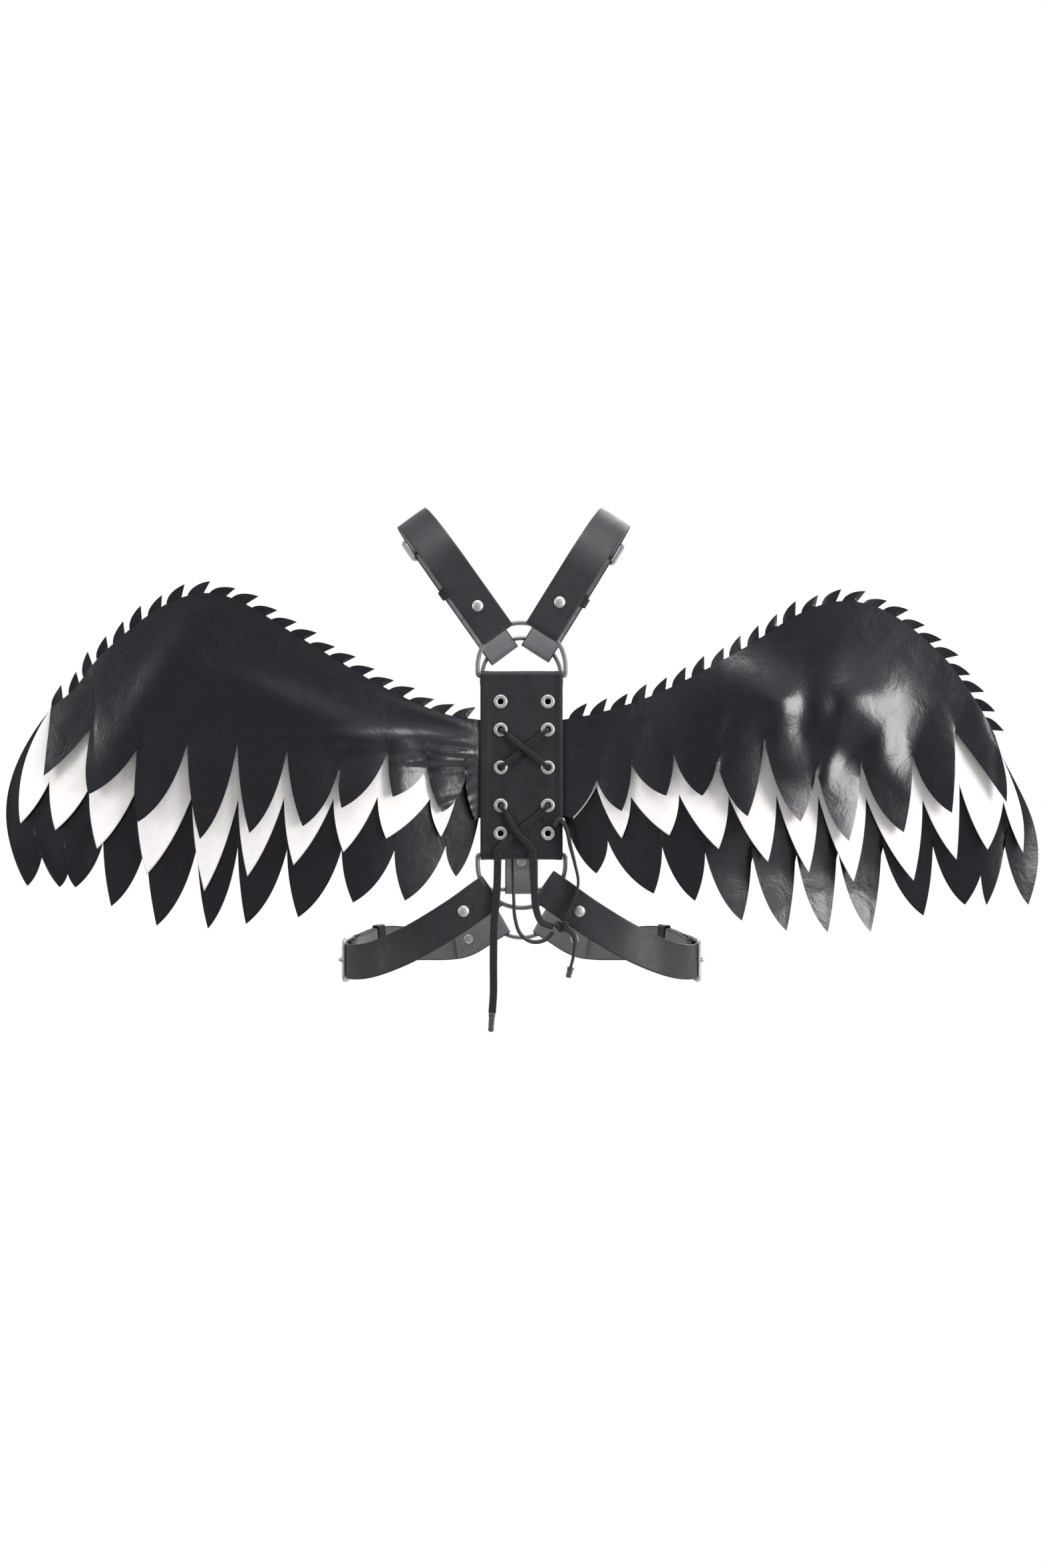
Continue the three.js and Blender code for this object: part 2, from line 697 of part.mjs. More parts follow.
const wingPoint = (label, span, height, back) =>
  new THREE.Vector3(WING_ENDS[label].side * span, wingDepth(label, span, height) + back, height);

// The lower outline of a feather tier, from the panel outwards: notch, round inner edge, tip, outer edge.
function tierOutline(label, tierName) {
  const tier = TIERS[tierName];
  const tips = FEATHER_TIPS[label][tierName];
  const inner = PANEL.width / 2 + (tierName === "white" ? WING.whiteClear : -PANEL.seamTuck);
  const points = [{ span: inner, height: tier.root }];
  if (tierName !== "white") points.push({ span: WING.flatUntil, height: tier.root });
  const notches = [{ span: inner, height: tier.root }];
  tips.forEach((tip, k) => {
    const from = points[points.length - 1];
    if (k > 0 || tierName !== "covert") {
      const height = from.height + FEATHER.innerHeight * (tip.height - from.height);
      points.push({ span: from.span + FEATHER.innerSpan * (tip.span - from.span), height });
    }
    points.push({ ...tip });
    if (k === tips.length - 1) return;
    const next = tips[k + 1];
    const span = tip.span + FEATHER.notchShift * (next.span - tip.span);
    const lead = smoothAt(LEADING_EDGE[label], span);
    const notch = { span, height: lead + tier.notch * ((tip.height + next.height) / 2 - lead) };
    if (tierName !== "white") {
      const height = tip.height + FEATHER.outerHeight * (notch.height - tip.height);
      points.push({ span: tip.span + FEATHER.outerSpan * (span - tip.span), height });
    }
    points.push(notch);
    notches.push(notch);
  });
  return { points, notches };
}

function addTier(label, tierName) {
  const tier = TIERS[tierName];
  const { points, notches } = tierOutline(label, tierName);
  const leadRows = LEADING_EDGE[label];
  const [innerSpan, outerSpan] = [points[0].span, points[points.length - 1].span];
  const leadEnd = leadRows[leadRows.length - 1].span;
  const front = (i, j) => {
    const low = points[i];
    const share = (low.span - innerSpan) / (outerSpan - innerSpan);
    const topSpan = low.span <= WING.flatUntil ? low.span : innerSpan + share * (leadEnd - innerSpan);
    const down = tier.start + ((1 - tier.start) * j) / tier.rows;
    const bow = tier.sideBow * share ** WING.bowSharpness * Math.sin(Math.PI * down ** WING.bowSkew);
    const span = topSpan + (low.span - topSpan) * down + bow;
    const height = smoothAt(leadRows, topSpan) * (1 - down) + low.height * down;
    const below = Math.max(0, smoothAt(notches, span) - height) / WING.liftLength;
    const lift = tier.lift * below ** WING.liftPower * smoothStep(WING.flatUntil, 2 * WING.flatUntil, span);
    const gather = tierName === "covert" ? gatherAt(label, span, height) : 0;
    return wingPoint(label, span, height, tier.offset - lift - gather);
  };
  const look = tierName === "white" ? "white_leather" : "wing_leather";
  place(`wing_${label}_${tierName}`, sheetGeometry(points.length - 1, tier.rows, front, tier.thick), look);
}

// A strip of spikes held between the covert and flight layers; on both wings the spikes lean towards +X.
function addSpikes(label) {
  const { side, spikes } = WING_ENDS[label];
  const leadRows = LEADING_EDGE[label];
  const [from, to] = [WING.flatUntil + SPIKE.start, leadRows[leadRows.length - 1].span];
  const edge = new THREE.CatmullRomCurve3(
    Array.from({ length: SPIKE.samples }, (_, k) => {
      const span = from + ((to - from) * k) / (SPIKE.samples - 1);
      return new THREE.Vector3(span, 0, smoothAt(leadRows, span));
    }),
  );
  const at = (share, out) => {
    const place01 = clamp01(share);
    const p = edge.getPointAt(place01);
    const t = edge.getTangentAt(place01);
    return { span: p.x - t.z * out, height: p.z + t.x * out };
  };
  const columns = 2 * spikes;
  const front = (i, j) => {
    const isTip = i % 2 === 1;
    const share = i / columns;
    const leaning = isTip && j === 0 ? share + (side * SPIKE.lean) / spikes : share;
    const out = j === 1 ? -SPIKE.inset : isTip ? SPIKE.height : 0;
    const { span, height } = at(leaning, out);
    return wingPoint(label, span, height, TIERS.white.offset);
  };
  place(`wing_${label}_spikes`, sheetGeometry(columns, 1, front, TIERS.white.thick), "wing_leather");
}
for (const label of ["left", "right"]) {
  for (const tierName of ["covert", "white", "flight"]) addTier(label, tierName);
  addSpikes(label);
}

// Laces

const LACE_FRONT = -PANEL.thick - 2 * GAP - EYELET.rim - LACE.thick / 2;
const LACE_BACK = EYELET.rim + LACE.thick / 2 + GAP;

// The points where the laid lace passes an eyelet: how far towards the front strand and the back strand, and y.
const PASSAGE = [
  { front: 5, back: 0, y: LACE_FRONT },
  { front: 2.2, back: 0, y: LACE_FRONT },
  { front: 0.6, back: 0, y: LACE_FRONT + 1.8 },
  { front: 0, back: 0.6, y: LACE_BACK - 1.8 },
  { front: 0, back: 2.2, y: LACE_BACK },
  { front: 0, back: 5, y: LACE_BACK },
];

// From the front strand, which comes from `front`, through an eyelet to the back strand, which goes to `back`.
function passage(eye, front, back) {
  const toFront = front.clone().sub(eye).setY(0).normalize();
  const toBack = back.clone().sub(eye).setY(0).normalize();
  return PASSAGE.map((row) =>
    eye.clone().addScaledVector(toFront, row.front).addScaledVector(toBack, row.back).setY(row.y),
  );
}

// The laid lace: two crossings on the front, upright runs behind, and both ends led down to the panel's edge.
const LACE_ENDS = [new THREE.Vector3(-21.3, LACE_FRONT, -84), new THREE.Vector3(9.9, LACE_FRONT, -84)];

function addLacing() {
  const eye = (column, row) => new THREE.Vector3(EYELET.columns[column], 0, EYELET.rows[row - 1]);
  const [L2, L3, L4] = [2, 3, 4].map((row) => eye(0, row));
  const [R2, R3, R4] = [2, 3, 4].map((row) => eye(1, row));
  const over = (a, b) => a.clone().lerp(b, 0.5).setY(LACE_FRONT - LACE.thick - GAP);
  const above = (end) => end.clone().add(new THREE.Vector3(0, 0, 2 * LACE.thick));
  const path = [
    LACE_ENDS[0],
    above(LACE_ENDS[0]),
    ...passage(R4, LACE_ENDS[0], R3),
    ...passage(R3, L2, R4).reverse(),
    over(R3, L2),
    ...passage(L2, R3, R2),
    ...passage(R2, L3, L2).reverse(),
    ...passage(L3, R2, L4),
    ...passage(L4, LACE_ENDS[1], L3).reverse(),
    over(L4, LACE_ENDS[1]),
    above(LACE_ENDS[1]),
    LACE_ENDS[1],
  ];
  place("lacing", wireGeometry(path, LACE.thick, LACE.laidSides, false), "lace_cord");
}
addLacing();

// A free stretch of lace: a round section extruded along a smooth curve through its points.
function addLace(name, route) {
  const curve = new THREE.CatmullRomCurve3(route.map(([x, y, z]) => new THREE.Vector3(x, y, z)));
  const section = new THREE.Shape(
    Array.from({ length: LACE.sides }, (_, k) => {
      const angle = (2 * Math.PI * k) / LACE.sides;
      return new THREE.Vector2(Math.cos(angle), Math.sin(angle)).multiplyScalar(LACE.thick / 2);
    }),
  );
  const steps = Math.round(curve.getLength() / (LACE.stepDiameters * LACE.thick));
  place(name, new THREE.ExtrudeGeometry(section, { steps, extrudePath: curve }), "lace_cord");
  return curve;
}

// A short tip crimped on a lace's end.
function addAglet(name, curve, length) {
  const direction = curve.getTangentAt(1);
  const agletGeometry = new THREE.CylinderGeometry(AGLET.thick / 2, AGLET.thick / 2, length, AGLET.sides);
  const aglet = place(name, agletGeometry, "lace_cord");
  aglet.position.copy(curve.getPointAt(1)).addScaledVector(direction, length / 2 + GAP);
  aglet.quaternion.setFromUnitVectors(new THREE.Vector3(0, 1, 0), direction);
}

// Where each free lace runs, from the object outwards.
const LACE_ROUTES = {
  tail_left: [
    [-21.6, -5.6, -84.6],
    [-22.5, -6, -115],
    [-24.9, -6.2, -144],
    [-25.5, -6, -176],
    [-25.5, -5.6, -207],
    [-26.7, -5.4, -225],
  ],
  strand_right: [
    [10, -5.6, -84.6],
    [11.7, -6, -114],
    [12.9, -6.4, -129],
    [18, -7, -142],
    [29, -7.6, -146.5],
  ],
  loop_left: [
    [-8.1, 4.8, -60],
    [-8.1, 9.2, -76],
    [-7.8, 6.5, -100],
    [-7, -3.6, -122],
    [-6, -6, -138],
    [-1, -6.4, -153],
    [9, -6.6, -160],
    [20, -7, -159],
    [29, -7.6, -151.5],
  ],
  loop_right: [
    [30, -6.4, -55],
    [34.5, -7, -49],
    [40.5, -7.4, -57],
    [44.5, -7.4, -74],
    [48.6, -7.2, -90],
    [51.5, -7, -106],
    [48, -7.4, -122],
    [42, -8.4, -136],
  ],
  tail_right: [
    [44.5, -7.6, -151],
    [48.5, -6.6, -158],
    [47, -6, -174],
    [44.6, -5.8, -184],
  ],
};
const KNOT = { x: 36.5, y: -8, z: -146, radii: [7, 4, 5.5] };

function addLaces() {
  const curves = Object.fromEntries(
    Object.entries(LACE_ROUTES).map(([name, route]) => [name, addLace(`lace_${name}`, route)]),
  );
  addAglet("aglet_left", curves.tail_left, AGLET.left);
  addAglet("aglet_right", curves.tail_right, AGLET.right);
  const knot = place("lace_knot", new THREE.SphereGeometry(1, 8, 6).scale(...KNOT.radii), "lace_cord");
  knot.position.set(KNOT.x, KNOT.y, KNOT.z);
}
addLaces();

export default harness;
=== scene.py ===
"""Looks of the wing harness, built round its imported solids: leather, nickel, laces and feathered wings."""

import math
from functools import partial

import bmesh
import bpy
import numpy as np
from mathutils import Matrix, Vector


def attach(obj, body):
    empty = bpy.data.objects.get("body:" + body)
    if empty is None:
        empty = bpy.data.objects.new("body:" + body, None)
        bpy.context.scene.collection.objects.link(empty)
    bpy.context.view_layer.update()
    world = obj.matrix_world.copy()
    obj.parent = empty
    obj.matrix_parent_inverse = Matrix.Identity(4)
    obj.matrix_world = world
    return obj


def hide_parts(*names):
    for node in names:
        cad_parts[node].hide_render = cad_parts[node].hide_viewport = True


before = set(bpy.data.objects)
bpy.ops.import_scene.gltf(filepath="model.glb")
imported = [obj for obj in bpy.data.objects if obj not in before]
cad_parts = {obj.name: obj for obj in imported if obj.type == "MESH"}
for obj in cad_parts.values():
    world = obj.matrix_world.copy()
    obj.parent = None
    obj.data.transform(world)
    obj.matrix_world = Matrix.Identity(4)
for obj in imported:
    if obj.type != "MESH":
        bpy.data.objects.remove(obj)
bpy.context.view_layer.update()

bl_info = {
    "name": "Wing harness looks",
    "version": (1, 0, 0),
    "blender": (4, 5, 0),
    "location": "View3D > Sidebar > Harness",
    "description": "Leather panel, straps, nickel hardware, laces and layered feather wings",
    "category": "Add Mesh",
}

# Shared sizes, in millimetres, as in the part's source
MM = 0.001
GAP = 0.3
PANEL_WIDTH = 75.0
PANEL_HEIGHT = 172.0
PANEL_THICK = 2.2
HEM_LENGTH = 16.0
EYELET_COLUMNS = (-19.0, 24.0)
EYELET_ROWS = (58.0, 32.5, -2.0, -36.5, -62.0)
RING_RADIUS = 40.0
RING_LEG = 8.5
RING_CORNER = 2.4
STRAP_THICK = 2.2
STRAP_FOLD_END = 8.0
STRAP_RIVET_AT = 28.0
STRAP_FOLD_TAIL = 42.0
STRAP_LAYER = 2.9
FOLD_MIDDLE = 30.0
FOLD_FLAT = 20.0
FOLD_PART = 13.0
FOLD_PART_DROP = 2.6
FOLD_WIRE = 6.0
BUCKLE_LENGTH = 30.0
BUCKLE_TAIL = 62.0
BUCKLE_SLACK = 0.4
PASS_RISE = 25.0
PASS_FRAME = 15.0
PASS_HEEL = 6.0
PASS_PAST_HEEL = 4.0
PASS_DOWN = 20.0
PASS_FLAT = 32.0
PASS_RING = 14.0
KEEPER_AT = 50.0
KEEPER_LENGTH = 10.0
KEEPER_THICK = 1.6
KEEPER_SLACK = 0.6
TORSO_DEPTH = 197.0
SHOULDER_ARCH = 71.0
SHOULDER_BUCKLE_AT = 283.0
WAIST_RING_HEIGHT = -123.5
WAIST_BUCKLE_SHARE = 0.57
RING_WIRE_RADIUS = 2.0
WIRE_DROP = RING_WIRE_RADIUS + GAP + STRAP_THICK / 2
HEEL_DROP = WIRE_DROP + BUCKLE_SLACK
BAR_HEIGHT = PANEL_HEIGHT / 2 - PANEL_THICK - GAP - RING_WIRE_RADIUS
BACK_RING_Y = GAP + RING_WIRE_RADIUS
STRAP_BACK_Y = BACK_RING_Y - WIRE_DROP
STRAP_FRONT_Y = STRAP_BACK_Y + TORSO_DEPTH
FRONT_RING_Y = STRAP_FRONT_Y - WIRE_DROP

SIDES = {"left": -1.0, "right": 1.0}

# Shoulder straps: where each meets its ring's wire, its lean outwards and upwards, and its straight length
SHOULDER_SIDES = {
    "left": dict(wire=(23.7, 122.2), lean=(0.579, 0.8153), straight=69.6),
    "right": dict(wire=(20.0, 124.64), lean=(0.527, 0.8499), straight=61.8),
}

# Waist straps: x, share of the torso's depth, z
WAIST_PATH = (
    (30, 0, -116.5), (62, 0, -139), (100, 0.035, -162), (137, 0.15, -179), (167, 0.5, -186),
    (137, 0.85, -175), (100, 0.965, -178), (60, 1, -176), (30, 1, -158.5),
)

# How far past the back rings' wires the straps' folds lie
BACK_FOLD_ENDS = {
    "shoulder_left": 0.0,
    "shoulder_right": 0.0,
    "waist_left": 0.0,
    "waist_right": STRAP_FOLD_END,
}

# Strap finish: a tail's taper and its end width as a share, its holes from the end, and the line creased
# beside each edge
TAIL_TAPER = 15.0
TAIL_END = 0.45
TAIL_HOLES = (14, 24, 34, 44, 54)
HOLE_DEPTH = 1.3
HOLE_WALL = (1.4, 2.6)
# How far from a hole's middle its dark mark, cut wall and painted shade, is full and where it has faded
HOLE_EDGE_AND_SHADE = (1.6, 2.8)
CREASE_INSET = 3.2
CREASE_WIDTH = 0.55
CREASE_DEPTH = 0.22
STRAP_WAVE = 0.25
STRAP_WAVE_LENGTHS = (17.0, 9.0, 41.0)
STRAP_RIM = 0.75
RIM_BURNISH = 0.9
CREASE_BURNISH = 0.7

# Hardware finish
WELD_AT = 6.0
WELD_WIDTH = 2.2
WELD_SWELL = 0.07
EYELET_RIM = 0.9
EYELET_DOME = 1.05
EYELET_CURL = 1.15
EYELET_CURL_HEIGHT = 0.75
EYELET_SEAT = 0.15
EYELET_WALL = 0.5
RIVET_AXIS = 0.02
RIVET_DOME = 2.1
RIVET_STEP = 0.35
RIVET_SEAT = 0.15
# A rivet's washer as radius and height from the strap's inner face, and a way that no rivet's axis takes
RIVET_WASHER = ((0.02, 0.15), (4.4, 0.15), (4.5, -0.2), (4.1, -0.55), (1.6, -0.75), (0.02, -0.45))
RIVET_ASIDE = (0.31, 0.2, 0.93)
BUCKLE_CORNER = 4.5
PRONG_THICK = 2.4
PRONG_FULLEST = 0.45
PRONG_TAPER = 0.62
# The prong's line: how far before the heel bar and past the far bar, each with its clearance
PRONG_RESTS = ((10.0, 0.6), (20.0, 0.2))
PRONG_TIP = ((0.0, 0.9), (2.4, 0.1))
KEEPER_CORNER = 1.8
KEEPER_RIM = 0.6

# Panel finish: points along a cell's side, the border, the sewn seam, the hems, and the dark sheet behind,
# painted shade seen through the holes
PANEL_SIDE = 26
PANEL_HOLE_SLACK = 0.35
PANEL_EDGE = (0.2, 0.9)
PANEL_SWELL_FROM = (6.0, 12.0)
BORDER_RISE = 0.55
BORDER_ROUND = (0.0, 1.6)
BORDER_FALL = (5.2, 7.4)
SEAM_INSET = 5.0
SEAM_WIDTH = 0.6
SEAM_DEPTH = 0.35
SEAM_BURNISH = 0.8
SEAM_MARK = 0.7
STITCH_PITCH = 4.2
STITCH_LENGTH = 3.3
STITCH_ENDS = (6, 5)
THREAD = 0.75
THREAD_TURN = 1.2
HEM_STANDOFF = 0.5
# The dark sheet behind the panel, painted shade for its holes: half-width, half-height, edge roll, depth,
# flare, flare run and thickness
SHADE_SHEET_HALF = 30.6
SHADE_SHEET_HEIGHT = 65.4
SHADE_SHEET_ROLL = 6.0
SHADE_SHEET_DEPTH = 5.2
SHADE_SHEET_FLARE = 3.4
SHADE_SHEET_FLARE_RUN = 18.0
SHADE_SHEET_THICK = 0.9

# Wings: span from the middle and height, for the leading edge and for each feather's tip
WING_FLAT_UNTIL = 39.0
WING_BULGE = 28.0
WING_TIP_SET = 6.0
WING_REACH = 425.0
WING_CHORD_BULGE = 9.0
WING_CHORD = 260.0
WING_TUCK = 6.0
LEADING_EDGE = {
    "left": (
        (31.5, 40.5), (72, 47.4), (126, 71.4), (198, 114), (252, 146.4),
        (285, 154), (324, 141.6), (378, 100), (405, 68), (426, 52),
    ),
    "right": (
        (31.5, 40.5), (72, 48), (126, 66), (198, 104), (252, 137),
        (292, 147), (333, 135), (378, 98), (405, 61), (424, 26),
    ),
}
FEATHER_TIPS = {
    "left": {
        "covert": (
            (42, -50), (71.7, -42.6), (115.2, -28.5), (160.2, -38.4), (194.7, -54.6),
            (241.8, -60.6), (286.2, -66), (341.7, -51), (387.3, -26.4), (430.2, -9.6),
        ),
        "white": (
            (72.9, -64.8), (121.5, -66), (159.3, -78), (203.7, -89.4), (245.1, -99.6),
            (284.1, -112.8), (336.3, -98.4), (380.7, -75), (419.7, -58.5), (452.7, -52.5),
        ),
        "flight": (
            (59.7, -101.4), (105.3, -122.4), (151.5, -123.6), (200.7, -136.8), (247.5, -142.8), (281.7, -147),
            (328.5, -144.6), (369.9, -127.2), (402.9, -110.4), (418.5, -110.4), (447.3, -109.2),
        ),
    },
    "right": {
        "covert": (
            (45.9, -48), (90.3, -41.4), (129.3, -27.6), (160.8, -27.6), (200.4, -45.6),
            (247.8, -50.4), (291.3, -67.5), (340.8, -60), (382.8, -42.6), (430.8, -33),
        ),
        "white": (
            (90.3, -66), (132.3, -63), (175.8, -75), (219.9, -86.4), (256.8, -96),
            (297.3, -104.4), (351.3, -103.5), (388.8, -84.6), (415.8, -75.6), (447.3, -78),
        ),
        "flight": (
            (68.1, -98.4), (119.1, -115.8), (155.7, -121.8), (198.9, -140.4), (239.1, -149.4),
            (276.3, -150.6), (315.3, -150.6), (362.1, -135.6), (398.1, -125.4), (417.3, -125.4),
            (455.7, -125.4),
        ),
    },
}
# Each tier: grid rows, where it starts, offset behind the covert, thickness, tip lift, root height, crown,
# the point that rounds a feather's inner edge and, where the notches have no table, how deep they are
TIERS = {
    "covert": dict(
        rows=64, start=0.0, offset=0.0, thick=1.2, lift=4.0, root=-46.0, crown=0.9, blade=(0.3, 0.74)
    ),
    "white": dict(
        rows=40, start=0.4, offset=2.7, thick=1.1, lift=2.4, root=-44.0, crown=0.5,
        blade=(0.42, 0.64), notch=0.7,
    ),
    "flight": dict(
        rows=56, start=0.0, offset=5.8, thick=1.2, lift=1.0, root=-48.0, crown=0.2,
        blade=(0.34, 0.72), notch=0.755,
    ),
}
# Notches from the panel outwards: share of the way to the next tip, and of the way down from the leading edge
COVERT_NOTCHES = {
    "left": (
        (0.3, 0.62), (0.3, 0.6), (0.1, 0.53), (0.1, 0.69), (0.3, 0.59),
        (0.25, 0.59), (0.21, 0.62), (-0.19, 0.56), (-0.2, 0.45),
    ),
    "right": (
        (0.5, 0.65), (0.22, 0.6), (0.21, 0.61), (0.32, 0.69), (0.31, 0.56),
        (0.32, 0.72), (0.22, 0.68), (0.2, 0.65), (0.09, 0.45),
    ),
}
# The last two notches of the lower tiers, as the same shares, and the place of their other notches
OUTER_NOTCHES = {
    "white": {"left": ((0.2, 0.7), (0.2, 0.62)), "right": ((0.1, 0.61), (0.47, 0.57))},
    "flight": {"left": ((0.46, 0.915), (0.54, 0.82)), "right": ((0.7, 0.845), (0.4, 0.65))},
}
NOTCH_PLACE = 0.2
# Bow of each tier's outer edge, and the powers that set how high it is fullest and how full
BOW = {
    "left": dict(covert=0.0, white=11.5, flight=30.0, powers=(1.0, 0.85)),
    "right": dict(covert=3.0, white=7.5, flight=19.0, powers=(1.35, 1.0)),
}
# Lower edge of the white tier before its first feather: its ends and the bend between them
WHITE_LEAD_IN = {
    "left": ((55.5, -19.0), (56.5, -20.0), (57.5, -21.0)),
    "right": ((47.2, -49.2), (60.4, -35.6), (68.0, -19.5)),
}
LAST_COVERT_BLADE = {"left": (0.42, 0.62), "right": (0.5, 0.48)}
# A feather's outer edge: where it bends, and how full it is as a share of the pitch, also where it leans in
OUTER_EDGE_BEND = (0.5, 0.45)
OUTER_EDGE_FULL = 0.12
INWARD_EDGE_FULL = 0.22
# How far above and below the notch a feather's own turn begins and is full
TURN_STARTS = {"left": (-30.0, 24.0), "right": (-40.0, 20.0)}
# How far each feather is turned to face inwards (positive) or outwards (negative), from the panel outwards:
# coverts and whites swing an edge forward, flights swing an edge back
FEATHER_TURN = {
    "left": {
        "covert": (0, 0.1, 2.2, 6.2, 0.9, 0.4, 0.6, 1.0, 0.6, 0.2),
        "white": (0, 0.5, 0.3, 0.6, 0.3, 0.4, 0.5, 1.6, 0.6, 0.4),
        "flight": (2.6, 0.9, 0.6, 0.5, 0.5, 0.6, 0.4, 0.6, 9.0, 9.0, 6.0),
    },
    "right": {
        "covert": (0, 0.4, 0.5, -0.5, -7.5, -7.0, -9.0, -4.5, 2.0, 4.0),
        "white": (0, 0.4, 0.3, -0.6, 0.4, 0.5, 0.5, 0.4, 1.4, 1.4),
        "flight": (0, 0.4, 0.6, -13.5, -10.5, -10.5, -9.6, -1.6, 0.4, -3.0, -5.0),
    },
}
# Soft swells of each wing: span, height, half-length, the half-widths of both flanks, turn in degrees, rise
SWELLS = {
    "left": (
        (204, 54, 70, 15, 15, 22, 4.2),
        (330, 70, 70, 16, 16, -58, 3.6),
        (108, 23, 80, 9, 8, 1, 4.7),
        (74, 8, 34, 6, 6, -4, 3.8),
        (118, -14, 30, 26, 26, 70, 3.0),
    ),
    "right": (
        (176, -40, 150, 60, 60, 90, 4.0),
        (162, 56, 46, 60, 42, 86, 15.5),
        (226, 54, 26, 70, 25, 56, 12.0),
        (285, 54, 34, 18, 47, 84, 17.5),
        (266, 2, 18, 40, 14, 80, 4.6),
        (318, 12, 26, 20, 20, 72, 5.0),
        (302, 1, 46, 8, 24, -44, -2.4),
        (470, 20, 260, 80, 80, 90, 26.0),
        (174, 34, 40, 8, 8, 86, 1.2),
    ),
}
# Gathers beside the panel: how far out they reach, and how deep they are
GATHERS = {"left": (150.0, 1.8), "right": (84.0, 0.8)}
GATHER_PITCH = 9.0
# Spikes: how many, how far past the panel they start, how deep their strip goes under the covert, its offset
# and thickness, and how far tips curl
SPIKES = {"left": 22, "right": 24}
SPIKE_START = 4.0
SPIKE_STRIP = 8.0
SPIKE_OFFSET = 2.7
SPIKE_THICK = 1.2
SPIKE_CURL = 0.7

# Laces: where each free stretch runs, from the object outwards
LACE_ROUTES = {
    "tail_left": (
        (-21.6, -5.6, -84.6), (-22.5, -6, -115), (-24.9, -6.2, -144),
        (-25.5, -6, -176), (-25.5, -5.6, -207), (-26.7, -5.4, -225),
    ),
    "strand_right": (
        (10, -5.6, -84.6), (11.7, -6, -114), (12.9, -6.4, -129), (18, -7, -142), (29, -7.6, -146.5),
    ),
    "loop_left": (
        (-8.1, 4.8, -60), (-8.1, 9.2, -76), (-7.8, 6.5, -100), (-7, -3.6, -122), (-6, -6, -138),
        (-1, -6.4, -153), (9, -6.6, -160), (20, -7, -159), (29, -7.6, -151.5),
    ),
    "loop_right": (
        (30, -6.4, -55), (34.5, -7, -49), (40.5, -7.4, -57), (44.5, -7.4, -74),
        (48.6, -7.2, -90), (51.5, -7, -106), (48, -7.4, -122), (42, -8.4, -136),
    ),
    "tail_right": (
        (38, -8, -147), (44.5, -7.6, -151), (48.5, -6.6, -158), (47, -6, -174), (44.6, -5.8, -184),
    ),
}
# Twist of each free lace along its way, in degrees: at its start and at its end
LACE_TWIST = {
    "tail_left": (12, -12),
    "strand_right": (8, 40),
    "loop_left": (84, 72),
    "loop_right": (62, 90),
    "tail_right": (55, 80),
}
LACE_STEP = 1.2
LACE_SIDES = 18
LACE_SQUARENESS = 0.75
PLAIT_LENGTH = 3.2
PLAIT_STRANDS = 5
KNOT_CENTRE = (36.5, -8.0, -146.0)
KNOT_RADII = (7.0, 4.0, 5.5)
KNOT_INSET = (1.6, 1.2, 1.6)
KNOT_LACE = (4.2, 2.6)
KNOT_SIDES = 14
KNOT_STRANDS = 4
# Angle round the knot that one plait takes, and a point behind the knot that its lace turns from
KNOT_PLAIT = 6.28 / 12
KNOT_BEHIND = (0.0, 30.0, 0.0)
LACE_ROUND = 3.4
LACE_FRONT = -PANEL_THICK - 2 * GAP - EYELET_RIM - LACE_ROUND / 2
LACE_BACK = EYELET_RIM + LACE_ROUND / 2 + GAP
# The laid lace: where its ends leave the panel, its width in an eyelet, how much it opens and flattens
# outside one and how far off, the heights between which it spreads to its full width, and its lifts where
# stretches cross
LACING_ENDS = ((-21.3, LACE_FRONT, -84.0), (9.9, LACE_FRONT, -84.0))
LACING_BUNDLE = 3.8
LACING_OPEN = 0.8
LACING_FLATTEN = 1.0
LACING_OPENS = (2.0, 9.0)
LACING_SPREAD = (-68.0, -84.0)
CROSSING_OVER = -2.2
CROSSING_UNDER = 0.9
# Aglets: width and thickness at the lace, each with how much is lost towards the tip, and the crimps' places
AGLET_WIDE = (6.4, 1.2)
AGLET_THICK = (3.4, 0.6)
AGLET_OVERLAP = 1.0
AGLET_PAST = 1.2
AGLET_LENGTHS = {"left": 17.0, "right": 9.0}
AGLET_CRIMPS = (0.3, 0.7)
CRIMP_WIDTH = 0.04
CRIMP_DEPTH = 0.1

# Stage, in metres and watts: the view, and each soft lamp's place, aim, size and power
CAMERA_DISTANCE = 1.788
CAMERA_HEIGHT = -0.017
FRAME_HEIGHT = 2357 * 0.6 * MM
REFERENCE_DEPTH = 0.018
SENSOR_MM = 36.0
SOFTBOXES = {
    "softbox_right": ((1.7, -1.08, 0.27), (0.1, 0, 0), (0.6, 1.14), 34),
    "softbox_left": ((-2.0, -0.6, 0.4), (-0.1, 0, 0), (0.6, 1.2), 22),
    "softbox_top": ((0.0, -0.35, 1.7), (0, 0.05, 0), (1.8, 0.8), 34),
    "softbox_chest": ((0.3, 1.8, 0.7), (0, 0.1, 0), (1.4, 1.2), 24),
}
# The floor, in millimetres
FLOOR_RADIUS = 800
FLOOR_HEIGHT = -1150
FLOOR_CENTRE = 90
FLOOR_ROLL = 6
FLOOR_RINGS = 24
FLOOR_SIDES = 64


# Properties


def linear(hex_colour):
    """Linear RGBA of an sRGB hex colour."""
    parts = [int(hex_colour[i : i + 2], 16) / 255 for i in (1, 3, 5)]
    return tuple(c / 12.92 if c <= 0.04045 else ((c + 0.055) / 1.055) ** 2.4 for c in parts) + (1.0,)


def length_property(name, description, millimetres):
    """A length for the sidebar, with its default in millimetres."""
    return bpy.props.FloatProperty(
        name=name, description=description, default=millimetres * MM, unit="LENGTH"
    )


def colour_property(name, description, hex_colour):
    """A colour for the sidebar, with its default as an sRGB hex colour."""
    return bpy.props.FloatVectorProperty(
        name=name, description=description, size=4, subtype="COLOR", default=linear(hex_colour)
    )


